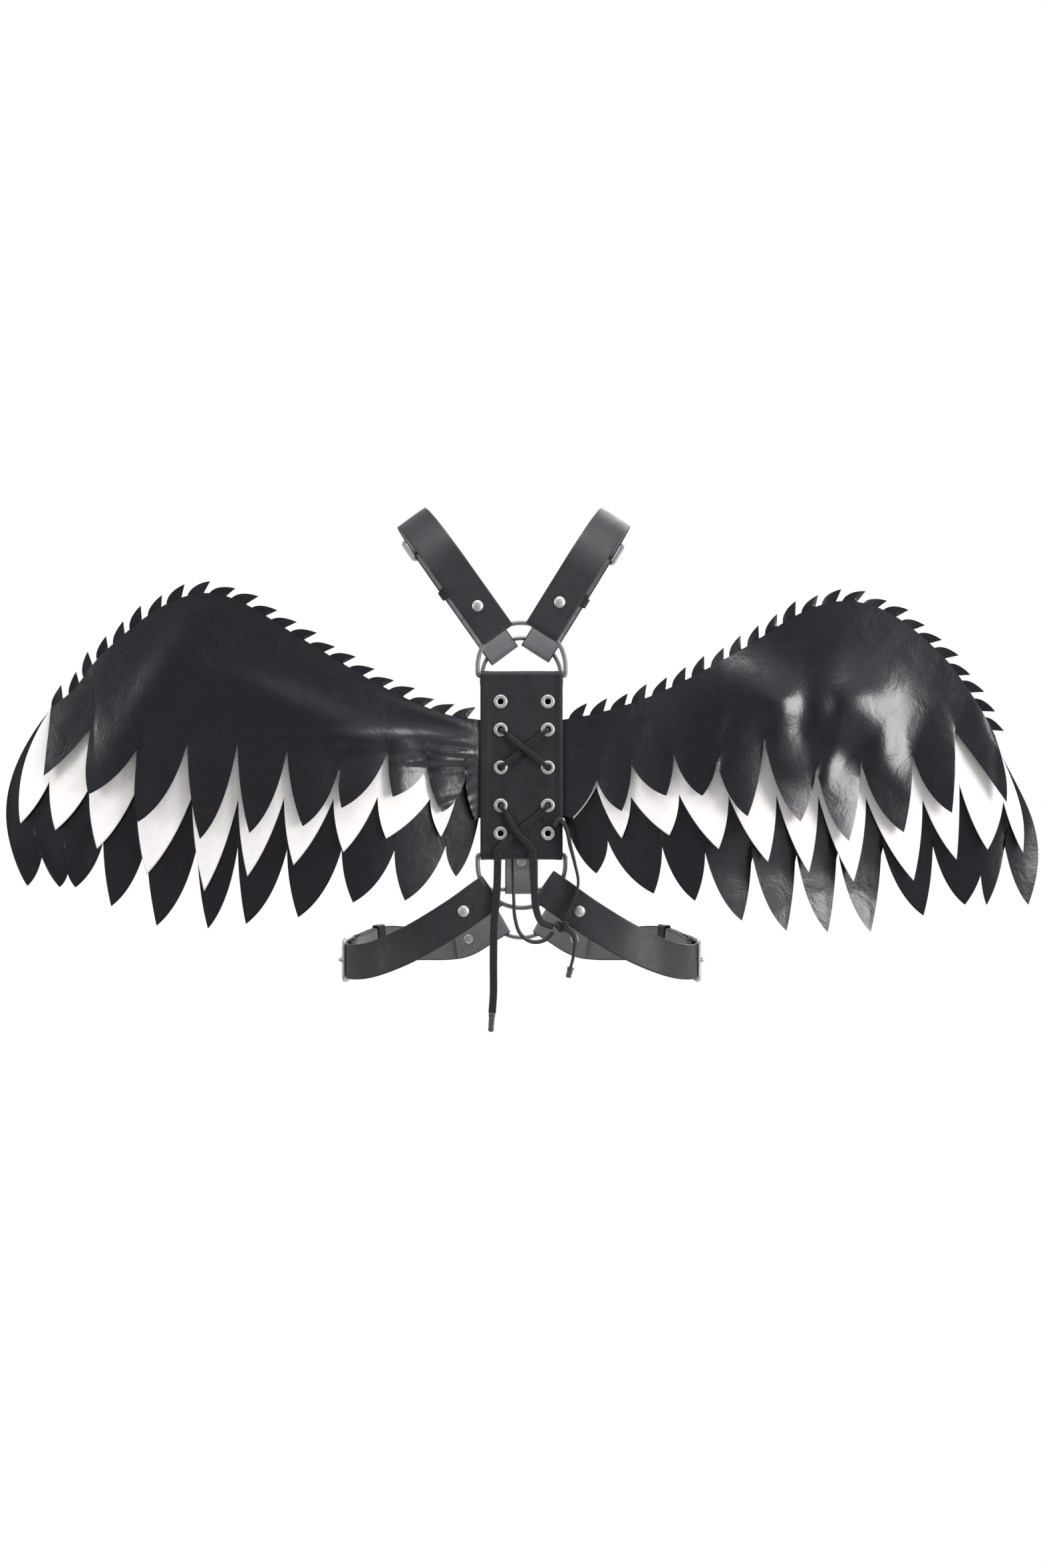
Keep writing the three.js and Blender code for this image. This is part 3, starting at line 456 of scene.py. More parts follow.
class HarnessSizes(bpy.types.PropertyGroup):
    """Sizes that can be set apart from the frame's"""

    strap_width: length_property("Strap width", "Width of every strap", 33)
    ring_wire: length_property("Ring wire", "Thickness of the D-rings' wire", 4)
    buckle_wire: length_property("Buckle wire", "Thickness of the buckles' frames", 4)
    eyelet_flange: length_property("Eyelet flange", "Outer diameter of an eyelet", 12.6)
    eyelet_hole: length_property("Eyelet hole", "Diameter of an eyelet's hole", 5.6)
    rivet_head: length_property("Rivet head", "Diameter of a domed rivet head", 10.5)
    lace_width: length_property("Lace width", "Width of the flat lace", 7.0)
    lace_thick: length_property("Lace thickness", "Thickness of the flat lace", 2.4)
    spike_height: length_property("Spike height", "Height of the leading edge's spikes", 10.5)
    feather_crown: length_property("Feather crown", "How far a feather's middle stands proud", 1.6)
    wrinkle: length_property("Wrinkle", "Depth of the wing leather's soft wrinkles", 0.3)


class HarnessColours(bpy.types.PropertyGroup):
    """Main colour of each material"""

    wing: colour_property("Wing leather", "Colour of the black wing leather", "#111117")
    white: colour_property("White leather", "Colour of the white feathers", "#f8f5f3")
    strap: colour_property("Strap leather", "Colour of the straps' grain side", "#1c1c20")
    flesh: colour_property("Flesh side", "Colour of the straps' inner side", "#626265")
    panel: colour_property("Panel leather", "Colour of the back panel", "#0f0f13")
    nickel: colour_property("Nickel", "Colour of the plated hardware", "#c4c3c1")
    lace: colour_property("Lace", "Colour of the braided lace", "#08080a")


def size(key):
    """One of the sidebar's sizes, in millimetres."""
    return getattr(bpy.context.scene.harness_sizes, key) / MM


def chosen(key):
    """One of the sidebar's colours."""
    return tuple(getattr(bpy.context.scene.harness_colours, key))


# Curves and grids


def smooth_step(low, high, x):
    """Zero below low, one above high, and 3t^2 - 2t^3 between."""
    t = np.clip((x - low) / (high - low), 0, 1)
    return t * t * (3 - 2 * t)


def bell(x, width):
    """One at zero, falling off on both sides as exp(-(x / width)^2)."""
    return np.exp(-((x / width) ** 2))


def unit(vectors):
    """Vectors brought to length one."""
    return vectors / np.maximum(np.linalg.norm(vectors, axis=-1, keepdims=True), 1e-12)


def square_to(tangent, vectors):
    """Vectors turned square to a path's tangents."""
    return unit(vectors - np.sum(vectors * tangent, axis=-1, keepdims=True) * tangent)


def distances(path):
    """How far along a path each of its stations lies."""
    return np.concatenate([[0], np.cumsum(np.linalg.norm(np.diff(path, axis=0), axis=1))])


def interpolate(at, places, rows):
    """Rows of values that are given at places, read off between them."""
    return np.stack([np.interp(at, places, column) for column in rows.T], axis=-1)


def curve_at(rows, x):
    """Height at x of a cubic through rows of (span, height), each slope taken between the two neighbours."""
    span, height = np.asarray(rows, float).T
    count = len(span)
    before = np.maximum(np.arange(count) - 1, 0)
    after = np.minimum(np.arange(count) + 1, count - 1)
    slope = (height[after] - height[before]) / (span[after] - span[before])
    x = np.clip(x, span[0], span[-1])
    k = np.clip(np.searchsorted(span, x) - 1, 0, count - 2)
    width = span[k + 1] - span[k]
    t = (x - span[k]) / width
    first = height[k] * (2 * t**3 - 3 * t**2 + 1) + slope[k] * width * (t**3 - 2 * t**2 + t)
    return first + height[k + 1] * (3 * t**2 - 2 * t**3) + slope[k + 1] * width * (t**3 - t**2)


def evenly(points, step):
    """A polyline cut anew into stations about step apart along its length."""
    points = np.asarray(points, float)
    run = distances(points)
    return interpolate(np.linspace(0, run[-1], max(3, int(round(run[-1] / step)) + 1)), run, points)


def evenly_closed(points, step):
    """The same for a closed line, whose last station does not repeat its first."""
    return evenly(np.concatenate([points, points[:1]]), step)[:-1]


def spline(points, step, pieces=24):
    """A centripetal Catmull-Rom curve through points, as stations about step apart.

    Knots are spaced by the square root of the distance between points, and each piece is the cubic that
    keeps the curve's direction at both of its ends.
    """
    points = np.asarray(points, float)
    p = np.concatenate([2 * points[:1] - points[1:2], points, 2 * points[-1:] - points[-2:-1]])
    p0, p1, p2, p3 = p[:-3], p[1:-2], p[2:-1], p[3:]
    pairs = ((p0, p1), (p1, p2), (p2, p3))
    d0, d1, d2 = (np.sqrt(np.linalg.norm(b - a, axis=1, keepdims=True)) for a, b in pairs)
    m1 = ((p1 - p0) / d0 - (p2 - p0) / (d0 + d1) + (p2 - p1) / d1) * d1
    m2 = ((p2 - p1) / d1 - (p3 - p1) / (d1 + d2) + (p3 - p2) / d2) * d1
    t = np.linspace(0, 1, pieces, endpoint=False)[None, :, None]
    a, b, c, d = (v[:, None, :] for v in (p1, m1, m2, p2))
    line = a * (2 * t**3 - 3 * t**2 + 1) + b * (t**3 - 2 * t**2 + t) + c * (t**3 - t**2)
    line = line + d * (3 * t**2 - 2 * t**3)
    return evenly(np.concatenate([line.reshape(-1, points.shape[1]), points[-1:]]), step)


def bezier(start, control, end, count):
    """Points of a quadratic Bezier curve, without its last one."""
    t = np.linspace(0, 1, count, endpoint=False)[:, None]
    return start * (1 - t) ** 2 + 2 * control * t * (1 - t) + end * t**2


def directions(path, closed=False):
    """Unit tangents of a path: at each station, from the station before it to the one after."""
    if closed:
        return unit(np.roll(path, -1, axis=0) - np.roll(path, 1, axis=0))
    return unit(np.gradient(path, axis=0))


def ellipse(width, thick, sides):
    """Points of an ellipse of that width and thickness."""
    angle = 2 * np.pi * np.arange(sides) / sides
    return np.stack([np.cos(angle) * width / 2, np.sin(angle) * thick / 2], axis=1)


def carry(profile, path, across, up):
    """A profile's points (p, q) carried along a path: station + p * across + q * up."""
    profile = np.broadcast_to(profile, (len(path),) + profile.shape[-2:])
    return path[:, None] + profile[..., :1] * across[:, None] + profile[..., 1:] * up[:, None]


def grid_quads(rows, columns, close_rows=False, close_columns=False):
    """Quads of a grid of rows x columns points, joined round where a side is closed."""
    r = np.arange(rows if close_rows else rows - 1)[:, None]
    c = np.arange(columns if close_columns else columns - 1)[None, :]
    r_next, c_next = (r + 1) % rows, (c + 1) % columns
    corners = [r * columns + c, r * columns + c_next, r_next * columns + c_next, r_next * columns + c]
    return np.stack(np.broadcast_arrays(*corners), axis=-1).reshape(-1, 4)


def walls(line, back):
    """Quads from a line of points to the line behind it, whose numbers are higher by back."""
    return np.stack([line[:-1], line[1:], line[1:] + back, line[:-1] + back], axis=1)


def outward_quads(points, quads):
    """Quads turned so that a closed surface's faces point out: its signed volume is made positive."""
    a, b, c, d = (points[quads[:, k]] for k in range(4))
    volume = np.einsum("ij,ij->", a, np.cross(b, c)) + np.einsum("ij,ij->", a, np.cross(c, d))
    return quads if volume > 0 else quads[:, ::-1]


def tube_faces(points, rows, columns, closed=False):
    """Faces of a tube, pointing out; an open tube has a flat cap at each end."""
    plain = grid_quads(rows, columns, closed, True)
    quads = outward_quads(points, plain)
    if closed:
        return quads.tolist()
    start, end = np.arange(columns), np.arange((rows - 1) * columns, rows * columns)
    caps = [start[::-1], end] if quads[0][0] == plain[0][0] else [start, end[::-1]]
    return quads.tolist() + [cap.tolist() for cap in caps]


def turned(profile, sides):
    """A closed profile of (radius, height) turned round the height axis, as points and quads."""
    profile = np.asarray(profile, float)
    angle = 2 * np.pi * np.arange(sides) / sides
    radius, height = profile[None, :, 0], profile[None, :, 1]
    rings = [radius * np.cos(angle)[:, None], radius * np.sin(angle)[:, None], height + 0 * angle[:, None]]
    points = np.stack(rings, axis=-1).reshape(-1, 3)
    return points, outward_quads(points, grid_quads(sides, len(profile), True, True))


# Pieces


def new_object(name, data):
    """A new object in the scene."""
    thing = bpy.data.objects.new(name, data)
    bpy.context.scene.collection.objects.link(thing)
    return thing


def add_piece(name, points, faces, materials, nodes=(), face_looks=None, marks=None, crease=40.0):
    """A new mesh piece from points in millimetres, riding on the harness and standing for CAD nodes."""
    mesh = bpy.data.meshes.new(name)
    mesh.from_pydata((np.asarray(points, float) * MM).tolist(), [], faces)
    for material in materials:
        mesh.materials.append(material)
    if face_looks is not None:
        mesh.polygons.foreach_set("material_index", np.asarray(face_looks, np.int32))
    for key, values in (marks or {}).items():
        values = np.asarray(values, np.float32)
        layer = mesh.attributes.new(key, "FLOAT" if values.ndim == 1 else "FLOAT_VECTOR", "POINT")
        layer.data.foreach_set("value" if values.ndim == 1 else "vector", values.ravel())
    mesh.polygons.foreach_set("use_smooth", np.ones(len(mesh.polygons), bool))
    mesh.update()
    mesh.set_sharp_from_angle(angle=math.radians(crease))
    piece = new_object(name, mesh)
    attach(piece, "root")
    if nodes:
        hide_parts(*nodes)
    return piece


def add_tube(name, path, section, across, up, material, nodes=(), closed=False, marks=None):
    """A section carried along a path; an open tube has flat ends."""
    grid = carry(section, path, across, up)
    points = grid.reshape(-1, 3)
    faces = tube_faces(points, *grid.shape[:2], closed)
    return add_piece(name, points, faces, [material], nodes, marks=marks)


def add_sheet(name, front, thick, materials, nodes=()):
    """A closed sheet: front grid, the same grid moved back by the thickness, and a rim round both.

    The edge mark is one on the lower edge.
    """
    columns, rows = front.shape[:2]
    count = columns * rows
    points = np.concatenate([front.reshape(-1, 3), front.reshape(-1, 3) + [0.0, thick, 0.0]])
    face = grid_quads(columns, rows)
    index = np.arange(count).reshape(columns, rows)
    border = np.concatenate([index[:-1, 0], index[-1, :-1], index[:0:-1, -1], index[0, :0:-1]])
    after = np.roll(border, -1)
    rim = np.stack([border, border + count, after + count, after], axis=1)
    quads = outward_quads(points, np.concatenate([face, face[:, ::-1] + count, rim]))
    looks = np.concatenate([np.zeros(len(face)), np.ones(len(face)), np.zeros(len(rim))])
    marks = np.zeros((2, columns, rows))
    marks[:, :, -1] = 1.0
    return add_piece(
        name, points, quads.tolist(), materials, nodes, looks, {"edge": marks.ravel()}, crease=50
    )


# Materials


def add_node(tree, kind, inputs=None, **settings):
    """A shader node with its settings; an input takes a value or a link, from a node its first output."""
    node = tree.nodes.new(f"ShaderNode{kind}")
    for key, value in settings.items():
        setattr(node, key, value)
    for key, value in (inputs or {}).items():
        if isinstance(value, bpy.types.Node):
            value = next(socket for socket in value.outputs if socket.enabled)
        if isinstance(value, bpy.types.NodeSocket):
            tree.links.new(value, node.inputs[key])
        else:
            node.inputs[key].default_value = value
    return node


def new_material(name):
    """A material, the function that adds its nodes, and the Object coordinates that its patterns read.

    The last two are None where a material of that name was made before.
    """
    material = bpy.data.materials.get(name)
    if material:
        return material, None, None
    material = bpy.data.materials.new(name)
    material.use_nodes = True
    material.node_tree.nodes.clear()
    node = partial(add_node, material.node_tree)
    return material, node, node("TexCoord").outputs["Object"]


def per_metre(millimetres):
    """Texture scale whose pattern repeats about every so many millimetres."""
    return 1 / (millimetres * MM)


def darker(colour, share):
    """A colour with its light cut to a share."""
    return tuple(share * c for c in colour[:3]) + (1.0,)


def leather(name, colour, worn, edge, rough, grain, crease, shine=0.5):
    """Leather: pebbled grain from cells, soft creases from noise, colour that varies in blotches and gloss
    that varies with the creases.

    The eye sees a dark hide with small bright glints on its grain, duller in the creases and along cut edges.
    Grain and crease are each a size and a depth in millimetres.
    """
    material, node, place = new_material(name)
    if node is None:
        return material
    cells = node(
        "TexVoronoi",
        {"Vector": place, "Scale": per_metre(grain[0]), "Smoothness": 0.6},
        feature="SMOOTH_F1",
    )
    folds = node(
        "TexNoise",
        {"Vector": place, "Scale": per_metre(crease[0]), "Detail": 5.0, "Roughness": 0.55, "Distortion": 0.6},
    )
    blotches = node("TexNoise", {"Vector": place, "Scale": per_metre(9 * grain[0]), "Detail": 4.0})
    tint = node("Mix", {"Factor": blotches, "A": colour, "B": linear(worn)}, data_type="RGBA")
    mark = node("Attribute", attribute_name="edge").outputs["Fac"]
    shade = node("Mix", {"Factor": mark, "A": tint, "B": linear(edge)}, data_type="RGBA")
    gloss = node(
        "MapRange", {"Value": folds, "From Min": 0.3, "From Max": 0.7, "To Min": rough[0], "To Max": rough[1]}
    )
    deep = node("Bump", {"Height": folds, "Distance": crease[1] * MM, "Strength": 1.0})
    fine = node("Bump", {"Height": cells, "Distance": grain[1] * MM, "Strength": 1.0, "Normal": deep})
    skin = node(
        "BsdfPrincipled",
        {"Base Color": shade, "Roughness": gloss, "Specular IOR Level": shine, "IOR": 1.5, "Normal": fine},
    )
    node("OutputMaterial", {"Surface": skin})
    return material


def backing(name, colour, light, fibre_mm):
    """Napped back of leather or coated cloth: short fibres as fine noise, no gloss, a faint sheen."""
    material, node, place = new_material(name)
    if node is None:
        return material
    nap = node("TexNoise", {"Vector": place, "Scale": per_metre(fibre_mm), "Detail": 6.0, "Roughness": 0.7})
    patches = node("TexNoise", {"Vector": place, "Scale": per_metre(25), "Detail": 3.0})
    blend = node("Math", {0: nap, 1: patches}, operation="MULTIPLY")
    tint = node("Mix", {"Factor": blend, "A": colour, "B": linear(light)}, data_type="RGBA")
    bump = node("Bump", {"Height": nap, "Distance": 0.25 * MM, "Strength": 0.8})
    skin = node(
        "BsdfPrincipled",
        {
            "Base Color": tint,
            "Roughness": 0.9,
            "Specular IOR Level": 0.2,
            "Sheen Weight": 0.25,
            "Normal": bump,
        },
    )
    node("OutputMaterial", {"Surface": skin})
    return material


def nickel_plate(name, colour, rough):
    """Nickel-plated steel, tumbled bright: mirror-like with fine scuffs that dull it in patches."""
    material, node, place = new_material(name)
    if node is None:
        return material
    scuffs = node(
        "TexNoise",
        {"Vector": place, "Scale": per_metre(1.6), "Detail": 8.0, "Roughness": 0.7, "Distortion": 1.2},
    )
    gloss = node(
        "MapRange",
        {"Value": scuffs, "From Min": 0.35, "From Max": 0.7, "To Min": rough[0], "To Max": rough[1]},
    )
    tarnish = node("TexNoise", {"Vector": place, "Scale": per_metre(7), "Detail": 3.0})
    tint = node("Mix", {"Factor": tarnish, "A": colour, "B": darker(colour, 0.72)}, data_type="RGBA")
    bump = node("Bump", {"Height": scuffs, "Distance": 0.03 * MM, "Strength": 0.5})
    skin = node("BsdfPrincipled", {"Base Color": tint, "Metallic": 1.0, "Roughness": gloss, "Normal": bump})
    node("OutputMaterial", {"Surface": skin})
    return material


def lace_braid():
    """Flat braided polyester lace: strands that cross both ways, coarse enough to show, with a soft sheen.

    The piece's lay attribute holds turns along (x) and turns across (y); two waves cross to give the plait,
    and its crests are painted a shade lighter than its hollows, painted shade between the strands.
    """
    material, node, place = new_material("braided_lace")
    if node is None:
        return material
    lay = node("Attribute", attribute_name="lay").outputs["Vector"]
    parts = node("SeparateXYZ", {"Vector": lay}).outputs
    waves = []
    for operation in ("ADD", "SUBTRACT"):
        slant = node("Math", {0: parts["X"], 1: parts["Y"]}, operation=operation)
        turn = node("Math", {0: slant, 1: 2 * math.pi}, operation="MULTIPLY")
        waves.append(node("Math", {0: turn}, operation="SINE"))
    plait = node("Math", {0: waves[0], 1: waves[1]}, operation="MULTIPLY")
    height = node(
        "MapRange", {"Value": plait, "From Min": -1.0, "From Max": 1.0, "To Min": 0.0, "To Max": 1.0}
    )
    fuzz = node("TexNoise", {"Vector": place, "Scale": per_metre(0.6), "Detail": 3.0})
    # Painted shade: the hollows between strands keep the lace's dark colour and the crests are painted
    # lighter
    tint = node("Mix", {"Factor": height, "A": chosen("lace"), "B": linear("#131317")}, data_type="RGBA")
    strands = node("Bump", {"Height": height, "Distance": 0.5 * MM, "Strength": 0.9})
    bump = node("Bump", {"Height": fuzz, "Distance": 0.15 * MM, "Strength": 0.5, "Normal": strands})
    skin = node(
        "BsdfPrincipled",
        {
            "Base Color": tint,
            "Roughness": 0.75,
            "Specular IOR Level": 0.3,
            "Sheen Weight": 0.15,
            "Normal": bump,
        },
    )
    node("OutputMaterial", {"Surface": skin})
    return material


def aglet_plastic():
    """Lace tip of black acetate film rolled and pressed: smooth, a little glossy, with faint roll marks."""
    material, node, place = new_material("acetate_aglet")
    if node is None:
        return material
    marks = node("TexNoise", {"Vector": place, "Scale": per_metre(2.2), "Detail": 4.0})
    tint = node("Mix", {"Factor": marks, "A": linear("#2b2b2f"), "B": linear("#55555a")}, data_type="RGBA")
    bump = node("Bump", {"Height": marks, "Distance": 0.1 * MM, "Strength": 0.6})
    skin = node("BsdfPrincipled", {"Base Color": tint, "Roughness": 0.35, "Normal": bump})
    node("OutputMaterial", {"Surface": skin})
    return material


def wing_leather():
    """Thin coated leather with a smooth, lightly wrinkled, glossy face."""
    looks = dict(worn="#18181f", edge="#0c0c0f", rough=(0.22, 0.3), grain=(1.1, 0.04), crease=(30, 0.9))
    return leather("coated_wing_leather", chosen("wing"), **looks)


def white_leather():
    """The same coated leather in white, satin, with a trace of grey in blotches."""
    looks = dict(worn="#ebe6e4", edge="#cfc9c7", rough=(0.42, 0.6), grain=(1.1, 0.06), crease=(30, 0.5))
    return leather("coated_white_leather", chosen("white"), **looks)


def strap_leather():
    """Vegetable-tanned strap leather, dyed black, waxed satin, with burnished darker edges."""
    looks = dict(worn="#28282d", edge="#0d0d10", rough=(0.44, 0.58), grain=(0.9, 0.002), crease=(14, 0.04))
    return leather("dyed_strap_leather", chosen("strap"), shine=0.45, **looks)


def panel_leather():
    """Pebbled matt leather of the back panel."""
    looks = dict(worn="#26262b", edge="#0c0c0f", rough=(0.48, 0.66), grain=(1.6, 0.2), crease=(12, 0.6))
    return leather("pebbled_panel_leather", chosen("panel"), shine=0.35, **looks)


def flesh_side():
    """The napped grey inner side of strap leather."""
    return backing("strap_flesh_side", chosen("flesh"), "#848487", 0.7)


def knit_backing():
    """The grey-black knitted back of coated leather."""
    return backing("knit_backing", linear("#202024"), "#3a3a40", 0.9)


def nickel():
    """The pressed hardware's plating."""
    return nickel_plate("nickel_plate", chosen("nickel"), (0.46, 0.6))


def shaded_wire_nickel():
    """The rings' bent wire: the same plating with its colour cut to 0.42, painted shade that makes the rings
    darker than the pressed hardware.
    """
    return nickel_plate("nickel_wire", darker(chosen("nickel"), 0.42), (0.5, 0.64))


# Straps


class StrapRun:
    """The mid surface of a strap's outer layer: a path, its tangents and an outward normal, on one side."""

    def __init__(self, path, normal_of, side):
        self.path = evenly(path, 0.5)
        self.side = np.array([side, 1.0, 1.0])
        self.stations = distances(self.path)
        self.length = self.stations[-1]
        self.tangents = directions(self.path)
        self.normal_of = normal_of

    def _frame(self, along):
        tangent = unit(interpolate(along, self.stations, self.tangents))
        return tangent, unit(self.normal_of(tangent))

    def point(self, along, out):
        """Points along the run, moved out along the normal; past an end the run goes on straight."""
        along, out = np.asarray(along, float), np.asarray(out, float)
        tangent, normal = self._frame(along)
        past = along - np.clip(along, 0, self.length)
        spot = interpolate(along, self.stations, self.path)
        return (spot + past[..., None] * tangent + out[..., None] * normal) * self.side

    def across(self, along):
        """Unit vectors across the strap."""
        tangent, normal = self._frame(along)
        return unit(np.cross(normal, tangent)) * self.side

    def outward(self, along):
        """Unit vectors out of the strap's outer face."""
        return self._frame(along)[1] * self.side


def shoulder_run(label):
    """Straight up from the back ring, over the shoulder in half an ellipse and down to the chest ring."""
    strap = SHOULDER_SIDES[label]
    outward, upward = strap["lean"]
    turn = np.linspace(-np.pi / 2, np.pi / 2, 400)
    middle = (STRAP_BACK_Y + STRAP_FRONT_Y) / 2
    rise = np.concatenate([[0], strap["straight"] + SHOULDER_ARCH * np.cos(turn), [0]])
    depth = np.concatenate([[STRAP_BACK_Y], middle + TORSO_DEPTH / 2 * np.sin(turn), [STRAP_FRONT_Y]])
    path = np.stack([strap["wire"][0] + rise * outward, depth, strap["wire"][1] + rise * upward], axis=1)
    width = np.array([-upward, 0.0, outward])
    return StrapRun(path, lambda t: np.cross(t, width), SIDES[label])


def waist_run(label):
    """Round the side of the waist from the panel's lower ring to the front ring, square to the upright."""
    rows = np.array(WAIST_PATH, float)
    points = np.stack([rows[:, 0], STRAP_BACK_Y + rows[:, 1] * TORSO_DEPTH, rows[:, 2]], axis=1)
    upright = np.array([[0.0, -1.0, 0.0], [1.0, 0.0, 0.0], [0.0, 0.0, 0.0]])
    return StrapRun(spline(points, 0.5), lambda t: t @ upright, SIDES[label])


def front_run():
    """Straight up the middle of the front, from the waist ring to the chest ring."""
    line = np.array([[0.0, STRAP_FRONT_Y, height] for height in (WAIST_RING_HEIGHT, BAR_HEIGHT)])
    return StrapRun(line, lambda t: np.broadcast_to([0.0, 1.0, 0.0], t.shape), 1.0)


def strap_runs():
    """Each strap pair's run and the place of its buckle's heel bar."""
    runs = {}
    for label in SIDES:
        runs[f"shoulder_{label}"] = (shoulder_run(label), SHOULDER_BUCKLE_AT)
        waist = waist_run(label)
        runs[f"waist_{label}"] = (waist, waist.length * WAIST_BUCKLE_SHARE)
    return runs


def fold_places(fold_centre):
    """A strap end folded inwards round a wire: from the tail's end, round the fold, to the outer layer."""
    turn = np.linspace(0, np.pi, 13)
    tail = [
        (STRAP_FOLD_TAIL, -STRAP_LAYER),
        (FOLD_MIDDLE, -STRAP_LAYER),
        (FOLD_FLAT, -STRAP_LAYER),
        (FOLD_PART, -STRAP_LAYER - FOLD_PART_DROP),
        (FOLD_WIRE, -2 * WIRE_DROP),
    ]
    bend = np.stack([-fold_centre - WIRE_DROP * np.sin(turn), -WIRE_DROP - WIRE_DROP * np.cos(turn)], axis=1)
    return np.concatenate([tail, bend])


def other_end(places, length):
    """The same places, counted from the run's far end."""
    return np.stack([length - places[:, 0], places[:, 1]], axis=1)[::-1]


def level(start, end, out=0.0, step=9.0):
    """Places about step apart from start to end, all as far out."""
    along = np.linspace(start, end, max(2, int(round((end - start) / step)) + 1))
    return np.stack([along, np.full_like(along, out)], axis=1)


def long_piece(buckle, fold_end):
    """The piece folded on the back ring, through the buckle, its tail over the front piece."""
    passage = [
        (buckle - PASS_FRAME, HEEL_DROP),
        (buckle - PASS_HEEL, HEEL_DROP + STRAP_LAYER),
        (buckle + PASS_PAST_HEEL, HEEL_DROP + STRAP_LAYER),
        (buckle + PASS_DOWN, STRAP_LAYER),
    ]
    tail = level(buckle + PASS_FLAT, buckle + BUCKLE_TAIL, STRAP_LAYER)
    return np.concatenate([fold_places(fold_end), level(PASS_RING, buckle - PASS_RISE), passage, tail])


def short_piece(length, buckle):
    """The piece folded on the buckle's heel bar and on the front ring."""
    turn = np.linspace(0, np.pi, 9)
    heel = np.stack([buckle - HEEL_DROP * np.sin(turn), -HEEL_DROP * np.cos(turn)], axis=1)
    start = [(buckle + STRAP_FOLD_TAIL, -STRAP_LAYER), (buckle + PASS_DOWN, -STRAP_LAYER)]
    rest = [(buckle + PASS_PAST_HEEL, HEEL_DROP)]
    flat = level(buckle + PASS_DOWN, length - PASS_RING)
    return np.concatenate([start, heel, rest, flat, other_end(fold_places(STRAP_FOLD_END), length)])


def strap_section(width, thick, flat_points=22):
    """Points of a strap's section, and the side of the faces between: -1 inner, 1 outer, 0 round edge."""
    radius = thick / 2
    flat = np.linspace(-1, 1, flat_points) * (width / 2 - radius)
    turn = np.linspace(-np.pi / 2, np.pi / 2, 7)[1:-1]
    right = np.stack([width / 2 - radius + radius * np.cos(turn), radius * np.sin(turn)], axis=1)
    low = np.stack([flat, np.full_like(flat, -radius)], axis=1)
    high = np.stack([flat[::-1], np.full_like(flat, radius)], axis=1)
    section = np.concatenate([low, right, high, -right])
    side = np.zeros(len(section), int)
    side[: flat_points - 1] = -1
    side[flat_points + len(right) : 2 * flat_points + len(right) - 1] = 1
    return section, side


def add_strap(name, run, places, holes=()):
    """A strap: its section carried along the places, tapered at a free tail, with punched holes pressed in.

    Each station moves along the run and out from it. Holes are round dips on the outer face. The edge mark is
    one on the round edges and on a line creased just inside them, where the leather is burnished dark, and in
    the holes, partly their burnished cut wall and partly painted shade for the depth of a punched hole. Faces
    towards the body, on the strap and on its folded tails, show the flesh side.
    """
    width = size("strap_width")
    along, out = spline(places, 1.3, 12).T
    path, across = run.point(along, out), run.across(along)
    up = unit(np.cross(directions(path), across))
    up *= np.sign(np.sum(up * run.outward(along), axis=1) @ np.gradient(along))
    section, face_side = strap_section(width, STRAP_THICK)
    gone = distances(path)
    left = gone[-1] - gone
    shape = np.repeat(section[None], len(path), axis=0)
    if len(holes):
        point = np.clip(left / TAIL_TAPER, 0, 1)
        shape[:, :, 0] *= (TAIL_END + (1 - TAIL_END) * np.sqrt(1 - (1 - point) ** 2))[:, None]
    outer = shape[:, :, 1] > 0.9 * STRAP_THICK / 2
    line = bell(np.abs(shape[:, :, 0]) - width / 2 + CREASE_INSET, CREASE_WIDTH) * outer
    long, cross, drift = STRAP_WAVE_LENGTHS
    wave = np.sin(gone / long)[:, None] * np.cos(shape[:, :, 0] / cross + gone[:, None] / drift)
    shape[:, :, 1] += STRAP_WAVE * wave - CREASE_DEPTH * line
    rim = np.abs(section[:, 0]) > width / 2 - STRAP_RIM
    edge = np.clip(RIM_BURNISH * rim + CREASE_BURNISH * line, 0, 1)
    for hole in holes:
        away = np.hypot(left[:, None] - hole, shape[:, :, 0])
        shape[:, :, 1] -= HOLE_DEPTH * (1 - smooth_step(*HOLE_WALL, away)) * outer
        # Each hole's dip takes the dark edge colour: partly its burnished cut wall, partly painted shade for
        # the depth of a punched hole
        edge = np.maximum(edge, (1 - smooth_step(*HOLE_EDGE_AND_SHADE, away)) * outer)
    points = carry(shape, path, across, up).reshape(-1, 3)
    faces = tube_faces(points, *shape.shape[:2])
    folded_back = np.diff(along)[:, None] < 0
    inward = (face_side[None] == -1) | (folded_back & (face_side[None] == 1))
    looks = np.append(inward.ravel(), [0, 0])
    materials, marks = [strap_leather(), flesh_side()], {"edge": edge.ravel()}
    add_piece(f"{name}_hide", points, faces, materials, (name,), looks, marks)


# Hardware


def ring_path(bar_height, direction, depth):
    """A D-ring's centre line: bar, rounded corners, legs and half a circle, opening up or down."""
    turn = np.linspace(0, np.pi / 2, 9)
    corner_x = RING_RADIUS - RING_CORNER + RING_CORNER * np.sin(turn)
    corner_h = RING_CORNER - RING_CORNER * np.cos(turn)
    arc = np.linspace(0, np.pi, 97)
    x = np.concatenate([-corner_x[::-1], corner_x, RING_RADIUS * np.cos(arc)])
    h = np.concatenate([corner_h[::-1], corner_h, RING_LEG + RING_RADIUS * np.sin(arc)])
    return evenly_closed(np.stack([x, np.full_like(x, depth), bar_height + direction * h], axis=1), 1.5)


